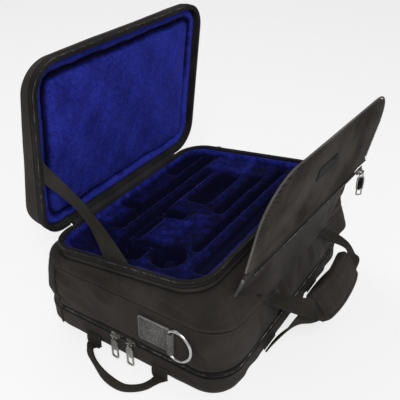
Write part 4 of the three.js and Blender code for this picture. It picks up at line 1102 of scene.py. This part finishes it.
def lining_plan():
    """A grid over the lining's rounded rectangle, its corner points drawn in to the arc."""
    length, width, corner = LINING_SIZE
    x, y = np.meshgrid(np.linspace(-length / 2, length / 2, 290), np.linspace(-width / 2, width / 2, 200))
    over_x = np.maximum(np.abs(x) - length / 2 + corner, 0)
    over_y = np.maximum(np.abs(y) - width / 2 + corner, 0)
    reach = np.hypot(over_x, over_y)
    keep = np.minimum(1, corner / np.maximum(reach, 1e-6))
    x = np.where(reach > corner, np.sign(x) * (length / 2 - corner + over_x * keep), x)
    y = np.where(reach > corner, np.sign(y) * (width / 2 - corner + over_y * keep), y) + RIM_MIDDLE
    return x, y


def lining():
    x, y = lining_plan()
    length, width, corner = LINING_SIZE
    edge = -inside(x, y, (0, RIM_MIDDLE, length, width), corner)
    flat = np.stack([x, y], -1)
    wobble = ripple(flat, 26, 41) * 0.7
    face = LINING_FACE + ripple(flat, 60, 42) * 0.7 + ripple(flat, 14, 43) * 0.25
    for *box, high in RAISED:
        face += high * rise(3.5, -5, inside(x, y, box, min(box[3] / 2.2, 6)) + wobble)
    cuts = [inside(x, y, box, min(box[3] / 2.1, 6)) for *box, _ in CAVITIES]
    well = np.hypot(x - WELL[0], y - WELL[1])
    gap = np.minimum.reduce(cuts + [well - WELL_RADIUS])
    face -= 2.6 * np.exp(-((np.maximum(gap, 0) / 3.2) ** 1.3))
    height = face
    for cut, (*_, deep) in zip(cuts, CAVITIES):
        height = np.minimum(height, face - deep * rise(0.6, -2.4, cut + wobble * 0.5))
    hole = face - WELL_DEPTH * rise(0.8, -4.0, well - WELL_RADIUS)
    crown = 2 * np.sqrt(np.clip(1 - (well / POST_RADIUS) ** 2, 0, 1))
    post = -60 + 30 * rise(1.5, -3.5, well - POST_RADIUS) + crown
    height = np.minimum(height, np.maximum(hole, np.where(well < POST_RADIUS + 4, post, -99)))
    border = -4 - 2.2 * rise(2.2, 0, edge) ** 2
    height = border + (height - border) * rise(4.2, 8.6, edge + wobble * 0.4)
    # Painted light and shade for the pile, with random tone from the ripple: brighter on the raised tops,
    # near black down in the cavities.
    lift = 0.29 + 0.1 * ripple(flat, 24, 44)
    lift += 0.34 * rise(-14.5, -7, height) - 0.6 * rise(-14.5, -21, height)
    grid = placed(CASE, np.stack([x, y, height], -1))
    block = skin("plush_lining", grid, PLUSH, around=False, wear=lift, sharp=180)
    settle(block, "cover", "plush", "moulded_lining")


# ---------------------------------------------------------------- stay strap
def stay():
    """The strap that holds the open lid: two layers, bowed out and turned between its ends."""
    case_end = [placed(CASE, (-181.4, y, -1.4)) for y in (-147.5, -102.5)]
    lid_end = [placed(LID, (-181.4, y, 1.2)) for y in (-132, -98)]
    rows = []
    for share in np.linspace(0, 1, 44):
        front, rear = (low * (1 - share) + high * share for low, high in zip(case_end, lid_end))
        bow, free = hump(min(share * 1.05, 1)), hump(share)
        middle = (front + rear) / 2 + np.array([13 * bow, 2 * bow, -3.0 * bow])
        half = (rear - front) / 2
        section = []
        for offset, sides in ((0.55, np.linspace(-1, 1, 11)), (-0.55, np.linspace(1, -1, 11))):
            for s in sides:
                thin = offset * (0.35 if abs(s) > 0.99 else 1)
                section.append(middle + half * s + X * (3.0 * free * s + 0.9 * free * s * s + thin))
        rows.append(section)
    strap = skin("stay_webbing", np.array(rows), WEBBING, caps=(True, True))
    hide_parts("stay_strap")
    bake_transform(strap)
    seat = patch_frame(CASE, Y, Z, X, (-182.3, -125, -3.7))
    flat_patch("stay_seat_cloth", (44.6, 3.6, 1.2), 2.2, seat, WEBBING, "cover", "webbing", "stay_seat")
    seat = patch_frame(LID, Y, Z, X, (-183.2, -115, 4.8))
    flat_patch("stay_lid_cloth", (41.6, 8.0, 1.2), 1.5, seat, WEBBING, "lid", "webbing", "stay_patch_lid")


def flat_patch(name, size, thick, where, look, body, slot, node=None, groove=False, thread=True,
               crown=0.0):
    """A sewn patch: its length, height and corner in the given directions, from its back face out."""
    length, height, corner = size

    def border(inset, z):
        return ring(outline(length - 2 * inset, height - 2 * inset, corner - inset), z)

    rows = [(0.5, 0), (0, thick * 0.25), (0, thick * 0.7), (0.25, thick * 0.9), (0.8, thick)]
    if groove:
        rows += [(2.4, thick + 0.1), (2.9, thick - 0.35), (3.5, thick - 0.35), (4.0, thick + 0.15),
                 (6, thick + crown)]
    rows += [(min(height / 2.2, 9), thick + crown)]
    grid = np.stack([border(*pair) for pair in rows])
    wear = np.zeros(grid.shape[:2])
    wear[2:5] = 0.8
    piece = skin(name, placed(where, grid), look, caps=(True, True), wear=wear)
    settle(piece, body, slot, *([node] if node else []))
    if thread:
        inset, sunk = (3.2, -0.1) if groove else (min(1.8, height / 4), 0.15)
        line = [(placed(where, border(inset, thick + sunk)), where[0] @ Z, True)]
        sewn_row(name + "_stitches", line, 3.0, 2.1, 0.7, 0.6, THREAD, body, slot)


# ---------------------------------------------------------------- riser, flap and their zipper
FLAP_HALF, FLAP_HEIGHT, FLAP_CORNER, FLAP_INSET = 182, 125, 62, 4.3
# The flap's ribs in a metre and how far they stand out, and the columns of one of its faces.
RIB_COUNT, RIB_HIGH, FLAP_COLUMNS = 205.0, 0.7, 58
STITCH_DEPTH = -3.3
RISER_FOLDS = [
    ((-150, 150), (-120, 196), 2.2, 8), ((148, 150), (120, 200), 2.2, 8), ((-60, 134), (-84, 176), 1.2, 9),
    ((20, 132), (40, 170), 1.0, 10), ((86, 134), (70, 182), 1.2, 9)]


def riser_station(share):
    """The riser's foot and fold, in the middle of its cloth, and its outward direction."""
    seam, edge = np.array([0, -160, SEAM_HEIGHT]), placed(CASE, (0, -267.7, -18))
    drawn = rise(0.6, 1, abs(share)) * 0.6
    chord = edge - seam
    size, level = np.linalg.norm(chord), abs(chord[1])
    bulge = unit(np.array([0, -chord[1] * chord[2] / level, level]))
    place = seam + chord * drawn + bulge * SHOULDER_BULGE * size * math.sin(math.pi * drawn)
    out = unit(bulge - chord / size * SHOULDER_BULGE * math.pi * math.cos(math.pi * drawn))
    low = place + out * 2.3
    low[0] = share * 148
    top = placed(FLAP, (share * FLAP_HALF, 0, 0)) - (0, 0, 3.8)
    along = top - low
    return low, top, unit(np.array([0, -along[2], along[1]]))


def riser():
    shares = np.linspace(-1, 1, 150)
    stations = [riser_station(share) for share in shares]
    low, top, out = (np.array([station[k] for station in stations]) for k in range(3))
    rows = []
    for level in np.linspace(0, 1, 34):
        middle = low + (top - low) * level
        wave = np.column_stack([middle, shares * 9])
        give = 0.8 * ripple(wave, 70, 51) + 0.3 * ripple(middle, 22, 52)
        give += sum(crease(middle[:, [0, 2]], *fold) for fold in RISER_FOLDS)
        sag = out * (give * math.sin(math.pi * level) ** 0.8)[:, None]
        thick = 1.9 - 0.5 * (level > 0.985) - 0.5 * (level < 0.015)
        rows.append(np.concatenate([middle + sag + out * thick, (middle + sag - out * thick)[::-1]]))
    grid = np.array(rows)
    wear = np.zeros(grid.shape[:2])
    wear[-3:] = 0.6
    wall = skin("flap_riser_cloth", grid, NYLON, caps=(True, True), wear=wear)
    settle(wall, "cover", "cover_nylon", "flap_riser")
    for (side, name), end in zip(SIDES, (0, -1)):
        foot, head = low[end] + (side * 2.7, 0, 0), top[end] + (side * 2.7, 0, -2.7)
        foot = foot + unit(head - foot) * 2.7
        run = head - foot
        line = [foot, foot + run * 0.35 + (0, -0.6, 0), foot + run * 0.7 + (0, -0.5, 0), head]
        cord = strip("riser_welt_" + name, smooth_path(line, 40), -Y, round_section(2.0, 12), PIPING)
        settle(cord, "cover", "piping", "riser_piping_" + name)


def flap_zip():
    _, top, out = riser_station(0)
    along = FLAP[0] @ X
    face = unit(out - along * (out @ along))
    up = np.cross(face, along)
    line = top + out * 2.0 - up * 6 + face * 1.3 + np.linspace(-163, 163, 120)[:, None] * along
    tape = strip("flap_zip_cloth", line, face, flat_section(1.1, 6.4, 0.4, 0.3), TAPE)
    settle(tape, "cover", "zipper_tape", "flap_zip_tape")
    rows = [(line + face * 0.75, face, False)]
    sewn_row("flap_zip_coil", rows, 1.8, 1.2, 2.6, 1.1, COIL, "cover", "zipper_tape")
    rows = [(line + face * 0.7 + up * shift, face, False) for shift in (-2.6, 2.6)]
    sewn_row("flap_zip_stitches", rows, 3.2, 2.3, 0.6, 0.5, THREAD, "cover", "zipper_tape")


def flap_half_width(z, inset):
    """Half the flap's width at a height above its fold."""
    corner, top = FLAP_CORNER - inset, FLAP_HEIGHT - inset
    over = np.clip(z - (top - corner), 0, corner)
    return FLAP_HALF - inset - corner + np.sqrt(np.maximum(corner**2 - over**2, 0))


def flap_board():
    """The stiff flap, ribbed on its outer face and lined with plain cloth on the other."""
    levels = np.linspace(0, FLAP_HEIGHT - FLAP_INSET - 0.05, 300)
    crests = np.abs(np.sin(math.pi * levels * METRE * RIB_COUNT))
    face = np.linspace(-1, 1, FLAP_COLUMNS)
    shares, sign = np.concatenate([face, -face]), np.repeat([-1.0, 1.0], FLAP_COLUMNS)
    rows = []
    for z, crest in zip(levels, crests):
        half = flap_half_width(z, FLAP_INSET)
        x = shares * half
        edge = np.clip((1 - np.abs(shares)) * half / 2.2, 0, 1) ** 0.5
        foot = min(z / 1.5, 1) ** 0.5
        warp = 0.8 * ripple(np.column_stack([x, 0 * x + z]), 120, 61)
        thick = 2.1 + np.where(sign < 0, RIB_HIGH * crest, 0.0)
        y = sign * thick * (0.25 + 0.75 * edge) * (0.6 + 0.4 * foot) + warp
        rows.append(np.column_stack([x, y, 0 * x + z]))
    # Painted shade: this mask is 1 in the valleys between the ribs and 0 on their crests, and the ribbed
    # finish darkens it.
    wear = np.repeat(1 - crests[:, None] ** 1.4, 2 * FLAP_COLUMNS, 1)
    board = skin("flap_board", placed(FLAP, np.array(rows)), RIBBED, caps=(True, True), wear=wear)
    board.data.materials.append(INNER)
    index = np.zeros(len(board.data.polygons), np.int32)
    column = np.arange(len(index) - 2) % (2 * FLAP_COLUMNS)
    index[:-2] = (column >= FLAP_COLUMNS) & (column < 2 * FLAP_COLUMNS - 1)
    board.data.polygons.foreach_set("material_index", index)
    settle(board, "flap", "ribbed_nylon", "flap_panel")


def flap():
    flap_board()
    front = FLAP[0] @ -Y
    fold = np.linspace(-176, 176, 120)[:, None] * X
    roll = strip("flap_fold", placed(FLAP, fold), -front, round_section(2.45, 12), NYLON)
    settle(roll, "flap", "cover_nylon")
    edge = [(-180, share * FLAP_HEIGHT) for share in (0.02, 0.25, 0.5)]
    turn = np.radians(np.linspace(0, 90, 8))
    edge += [(-180 + 60 - 60 * math.cos(a), 123 - 60 + 60 * math.sin(a)) for a in turn]
    edge += [(x, 123) for x in (-91, 0, 91)] + [(-x, z) for x, z in edge[::-1]]
    line = placed(FLAP, smooth_path([(x, 0, z) for x, z in edge], 260))
    cord = strip("flap_welt", line, front, round_section(1.35, 12), PIPING)
    settle(cord, "flap", "piping", "flap_piping")
    inner = [(x * 0.962, STITCH_DEPTH, z - 5.6 if z > 60 else z) for x, z in edge]
    rows = [(placed(FLAP, smooth_path(inner, 260)), front, False)]
    sewn_row("flap_stitches", rows, 3.6, 2.6, 0.7, 0.6, THREAD, "flap", "ribbed_nylon")
    where = patch_frame(FLAP, X, Z, -Y, (-17, STITCH_DEPTH, 75.5))
    flat_patch("bare_patch", (54, 19, 2), 1.3, where, PATCH, "flap", "leather", "label_patch")


# ---------------------------------------------------------------- tabs, rings, loop and handle
RING_PLACE = (209, -82.2, 85)
SLEEVE = [
    (5.2, -17), (5.2, 17), (4.9, 17.5), (3.5, 17.5), (3.2, 17), (3.2, -17), (3.5, -17.5), (4.9, -17.5),
    (5.2, -17)]


def ring_tab(side, name):
    """A leather tab with its sleeve at one end of the case, and the steel ring that it holds."""
    where = (np.array([[0, 0, side], [-1, 0, 0], [0, -side, 0]], float),
             np.array([side * 203.8, -53.5, 85]))
    flat_patch("ring_tab_leather_" + name, (51, 40, 3.4), 3.0, where, LEATHER, "cover", "leather",
               "ring_tab_" + name, groove=True, crown=0.25)
    ring_x, ring_y, ring_z = RING_PLACE
    turn = np.arange(28) * 2 * math.pi / 28
    circle = np.stack([side * np.cos(turn), side * np.sin(turn), 0 * turn], 1)
    grid = np.array([(side * ring_x, ring_y, ring_z + z) + radius * circle for radius, z in SLEEVE])
    sleeve = skin("ring_sleeve_" + name, grid, LEATHER, wear=np.full(grid.shape[:2], 0.25))
    settle(sleeve, "cover", "leather")
    half, bow = 24.8, 31.8
    start, bar = bow * 0.3, half * 0.82
    points = [(0, s * bar) for s in (-1, -0.5, 0, 0.5, 1)]
    turn = np.radians(np.linspace(90, -90, 7))
    points += [(start + (bow - start) * math.cos(a), half * math.sin(a)) for a in turn]
    points = [(side * ring_x, ring_y - x, ring_z - side * z) for x, z in points]
    path = smooth_path(points, 160, closed=True)
    grid = sweep(path, side * X, round_section(2.2, 14), closed=True)
    wire = skin("strap_ring_" + name, grid, STEEL)
    settle(wire, "ring_" + name, "ring_steel", "ring_" + name)


# How far out and back the loop lies at each point, and how far it stands on its edge there.
LOOP_WALL, LOOP_OUT, LOOP_FRONT, LOOP_BACK = -202.6, 45, -58, 60
LOOP_POINTS = [
    (0.14, 1, 0), (0.4, 0.94, 0.5), (0.78, 0.73, 1), (1, 0.48, 0.55), (0.95, 0.25, 0.1), (0.6, 0.07, 0),
    (0.1, 0, 0)]

def side_loop():
    """A loop of webbing on the floor, folded and standing on its edge where it leaves the wall."""
    steps, low = 130, 1.5
    points = [(LOOP_WALL, LOOP_BACK, low)]
    for reach, back, twist in LOOP_POINTS:
        points.append((LOOP_WALL - LOOP_OUT * reach, LOOP_FRONT + (LOOP_BACK - LOOP_FRONT) * back,
                       1.9 + 11.6 * math.sin(math.radians(60 * twist))))
    points.append((LOOP_WALL, LOOP_FRONT, low))
    path = smooth_path(points, steps)
    share = np.linspace(0, 1, steps)
    folded = rise(0.05, 0.2, share) * rise(0.97, 0.8, share)
    path[:, 2] = np.maximum(path[:, 2], low + 1.5 * folded)
    twists = [0] + [twist for _, _, twist in LOOP_POINTS] + [0]
    twists = smooth_path([(i, twist, 0) for i, twist in enumerate(twists)], steps)[:, 1]
    turn = np.radians(84) * np.maximum(twists, 0)
    ahead = np.gradient(path, axis=0)
    level = -outward(path)
    across = level * np.cos(turn)[:, None] + Z * np.sin(turn)[:, None]
    section = np.array([flat_section(2.1 + 2.0 * f, 23.6 - 11.6 * f, 0.45, 0.12 + 0.5 * f) for f in folded])
    strap = strip("side_loop_webbing", path, np.cross(across, ahead), section, WEBBING)
    settle(strap, "loop", "webbing", "side_loop")
    for name, y in (("rear", 60), ("front", -58)):
        line = smooth_path([(-202.6, y, 22), (-203.0, y, 15), (-203.6, y, 8), (-203.4, y, 2.2)], 24)
        tail = strip("loop_tail_" + name, line, (-1, 0, 0), flat_section(2.0, 27, 0.45, 0.15), WEBBING)
        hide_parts("side_loop_anchor_" + name)
        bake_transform(tail)
        rows = [(line[2:14] + (-1.1, side * 11.4, 0), (-1, 0, 0), False) for side in (-1, 1)]
        sewn_row("loop_tail_stitches_" + name, rows, 3.0, 2.1, 0.7, 0.6, THREAD, "base", "webbing")


GRIP_TILT = math.radians(51)
ACROSS = np.array([0, -math.cos(GRIP_TILT), -math.sin(GRIP_TILT)])
FACE = np.array([0, -math.sin(GRIP_TILT), math.cos(GRIP_TILT)])
GRIP = np.array([0, -221, 96.0])
# Half of the grip's length along the case, and half of its width.
GRIP_LONG, GRIP_HALF = 59.0, 23.5


def handle_strap(name, pivot, off, shares, turned_way):
    """A strap from one anchor through the grip to the other, and the lines of its stitches."""
    def in_grip(x):
        return GRIP + FACE * off - X * x

    pivot, entry = np.array(pivot, float), in_grip(64)
    left = [pivot] + [pivot + (entry - pivot) * np.array(s[:3]) for s in shares]
    left += [entry, in_grip(59), in_grip(35.4)]
    turns = [X] + [X + (turned_way - X) * s[3] for s in shares] + [turned_way] * 3
    mirror = np.array([-1, 1, 1])
    path = smooth_path(left + [in_grip(0)] + [p * mirror for p in left[::-1]], 200)
    across = smooth_path(turns + [turned_way] + [t * mirror for t in turns[::-1]], 200)
    ahead = np.gradient(path, axis=0)
    outs = np.cross(across, ahead)
    strap = strip(name, path, outs, flat_section(2.6, 25.8, 0.45, 0.1), WEBBING)
    outs = unit(outs)
    wide = np.cross(unit(ahead), outs)
    rows = []
    for way in (-1, 1):
        for face in (-1, 1):
            for run in (slice(6, 70), slice(130, 194)):
                line = path[run] + wide[run] * way * 10.6 + outs[run] * face * 1.35
                rows.append((line, outs[run] * face, False))
    return strap, rows


def arch(x):
    """How far the grip's middle bows away from the case."""
    return 7 * (1 - (x / GRIP_LONG) ** 2) - 2


def grip_section():
    """The grip's closed section: a padded top, two rolled edges and the slot for the straps."""
    half = GRIP_HALF
    slot = [(1.6, -6.5), (4.2, -6.4), (5.4, -5.6), (5.6, -3.5), (6, 1.4), (7.5, 2.6)]
    roll = [(0.4, 2.8), (2, 5.2), (4.6, 6.3), (6.2, 5.7), (8.0, 6.7)]
    shape = [(-half, -6.2)] + [(-half + a, f) for a, f in slot] + [(0, 2.9)]
    shape += [(half - a, f) for a, f in slot[::-1]] + [(half, -6.2), (half + 0.1, -2)]
    shape += [(half - a, f) for a, f in roll] + [(10, 8.1), (0, 8.5), (-10, 8.1)]
    shape += [(-half + a, f) for a, f in roll[::-1]] + [(-half - 0.1, -2)]
    return smooth_path([(a, f, 0) for a, f in shape], 150, closed=True)[:, :2]


def grip():
    shape, long = grip_section(), GRIP_LONG
    ends = np.array([0, 0.4, 1.2, 2.5, 4.5, 6, 7.2])
    rows = []
    for x in np.concatenate([ends - long, np.linspace(-49, 49, 46), long - ends[::-1]]):
        left = long - abs(x)
        puff = 1 - 0.16 * (1 - math.sqrt(max(1 - (1 - min(left / 6, 1)) ** 2, 0)))
        hem = 0.7 * dip(left, 6, 1.0)
        face = np.where(shape[:, 1] > 2.95, shape[:, 1] * puff - hem, shape[:, 1])
        corner = 1 - 0.15 * (1 - math.sqrt(1 - (1 - min(left / 15, 1)) ** 2))
        points = GRIP + ACROSS * (shape[:, :1] * corner + arch(x)) + FACE * face[:, None] + X * x
        waves = ripple(points, 34, 71) * 0.9 + ripple(points, 12, 72) * 0.2
        rows.append(points + FACE * (rise(3.2, 6, shape[:, 1]) * waves)[:, None])
    pad = skin("grip_pad", np.array(rows), NYLON, caps=(True, True), flip=True)
    settle(pad, "handle", "cover_nylon", "handle_grip")
    run, end = np.linspace(-53, 53, 40), np.linspace(-15, 15, 12)
    spots = [(x, 17.3, 6.3) for x in run] + [(53, a, 7.4) for a in end[::-1]]
    spots += [(x, -17.3, 6.3) for x in run[::-1]] + [(-53, a, 7.4) for a in end]
    line = [GRIP + ACROSS * (a + arch(x)) + FACE * f + X * x for x, a, f in spots]
    sewn_row("grip_stitches", [(line, FACE, True)], 3.4, 2.4, 0.8, 0.6, THREAD, "handle", "cover_nylon")


def handle():
    """The handle's two straps; each share tells how far one point lies on its way to the grip."""
    shares = [(0.05, 0.25, 0, 0.05), (0.28, 0.64, 0.1, 0.35), (0.7, 0.93, 0.42, 0.8)]
    upper, rows = handle_strap("upper_strap_webbing", (-89, -166.76, 112), 1.2, shares, -ACROSS)
    settle(upper, "handle", "webbing", "handle_upper_strap")
    sewn_row("upper_strap_stitches", rows, 3.4, 2.4, 0.7, 0.5, THREAD, "handle", "webbing")
    shares = [(0.04, 0.16, 0.22, 0.03), (0.22, 0.5, 0.58, 0.2), (0.6, 0.84, 0.86, 0.7)]
    lower, _ = handle_strap("lower_strap_webbing", (-74, -161.8, 7), -3.4, shares, ACROSS)
    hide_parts("handle_lower_strap")
    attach(lower, "base")
    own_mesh(lower)
    front = np.array([[1, 0, 0], [0, 0, -1], [0, 1, 0]], float)
    for side, name in SIDES:
        flat_patch("handle_anchor_cloth_" + name, (33.8, 3, 0.8), 2.7,
                   (front, np.array([side * 89, -162.2, 112])), WEBBING, "cover", "webbing",
                   "handle_anchor_" + name, thread=False)
        flat_patch("lower_anchor_cloth_" + name, (33.8, 8, 1), 1.7,
                   (front, np.array([side * 74, -160.3, 18])), WEBBING, "base", "webbing",
                   "lower_strap_anchor_" + name)


# ---------------------------------------------------------------- pull of the flap's zipper
PULL_PLACE = np.array([149.6, -191.4, 181.0])
PULL_ACROSS, PULL_OUT = np.array([0.62, -0.785, 0]), np.array([-0.785, -0.62, 0])
# Each part's half width, half height, middle and wire radius, and the node that it stands for.
PULL_WIRES = [
    ("frame", 4.9, 11.5, 0.5, 1.2, ["pull_flap"]), ("eye", 3.9, 4.6, -15.5, 1.1, []),
    ("link", 2.6, 4.2, 15.5, 0.9, ["pull_flap_tip"])]


def wire_loop(half_wide, half_high, middle):
    """A closed loop between an oval and a rectangle."""
    turn = np.arange(40) * 2 * math.pi / 40
    x, y = (np.sign(way) * np.abs(way) ** 0.45 for way in (np.cos(turn), np.sin(turn)))
    return np.column_stack([x * half_wide, y * half_high + middle, 0 * turn])


def flap_pull():
    """A dark grip between metal rims with an eye at its foot, hung from the slider's crown."""
    turn = np.stack([PULL_ACROSS, Z, PULL_OUT], 1)
    for name, half_wide, half_high, middle, radius, nodes in PULL_WIRES:
        path = placed((turn, PULL_PLACE), wire_loop(half_wide, half_high, middle))
        grid = sweep(path, PULL_OUT, round_section(radius), closed=True)
        settle(skin("flap_pull_" + name, grid, GUNMETAL), "pull_flap", "pull_metal", *nodes)
    back = (turn, PULL_PLACE - PULL_OUT * 0.9 + Z * 0.5)
    flat_patch("flap_pull_insert", (9.4, 22.4, 2.5), 1.8, back, RUBBER, "pull_flap", "pull_rubber",
               "pull_flap_grip", thread=False)


# ---------------------------------------------------------------- metal that keeps its solids
def paint_metal():
    for name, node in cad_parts.items():
        if name.split("_")[0] in ("slider", "pull"):
            node.data.materials.clear()
            node.data.materials.append(GUNMETAL)
            for polygon in node.data.polygons:
                polygon.material_index = 0


add_camera()
add_studio()
pocket()
pocket_zip("pocket_tape_lower", 42.2, 43.9, "base", "pocket_zip_lower")
pocket_zip("pocket_tape_upper", 46.9, 45.2, "cover", "pocket_zip_upper")
pocket_edges()
pocket_back()
soft_cover()
shell()
lid()
rim_trim("rim_tape_case", CASE, -1, "cover", "rim_zip_base")
rim_trim("rim_tape_lid", LID, 1, "lid", "rim_zip_lid")
lid_fold()
lid_pad()
lining()
stay()
riser()
flap_zip()
flap()
for end in SIDES:
    ring_tab(*end)
side_loop()
grip()
handle()
flap_pull()
paint_metal()
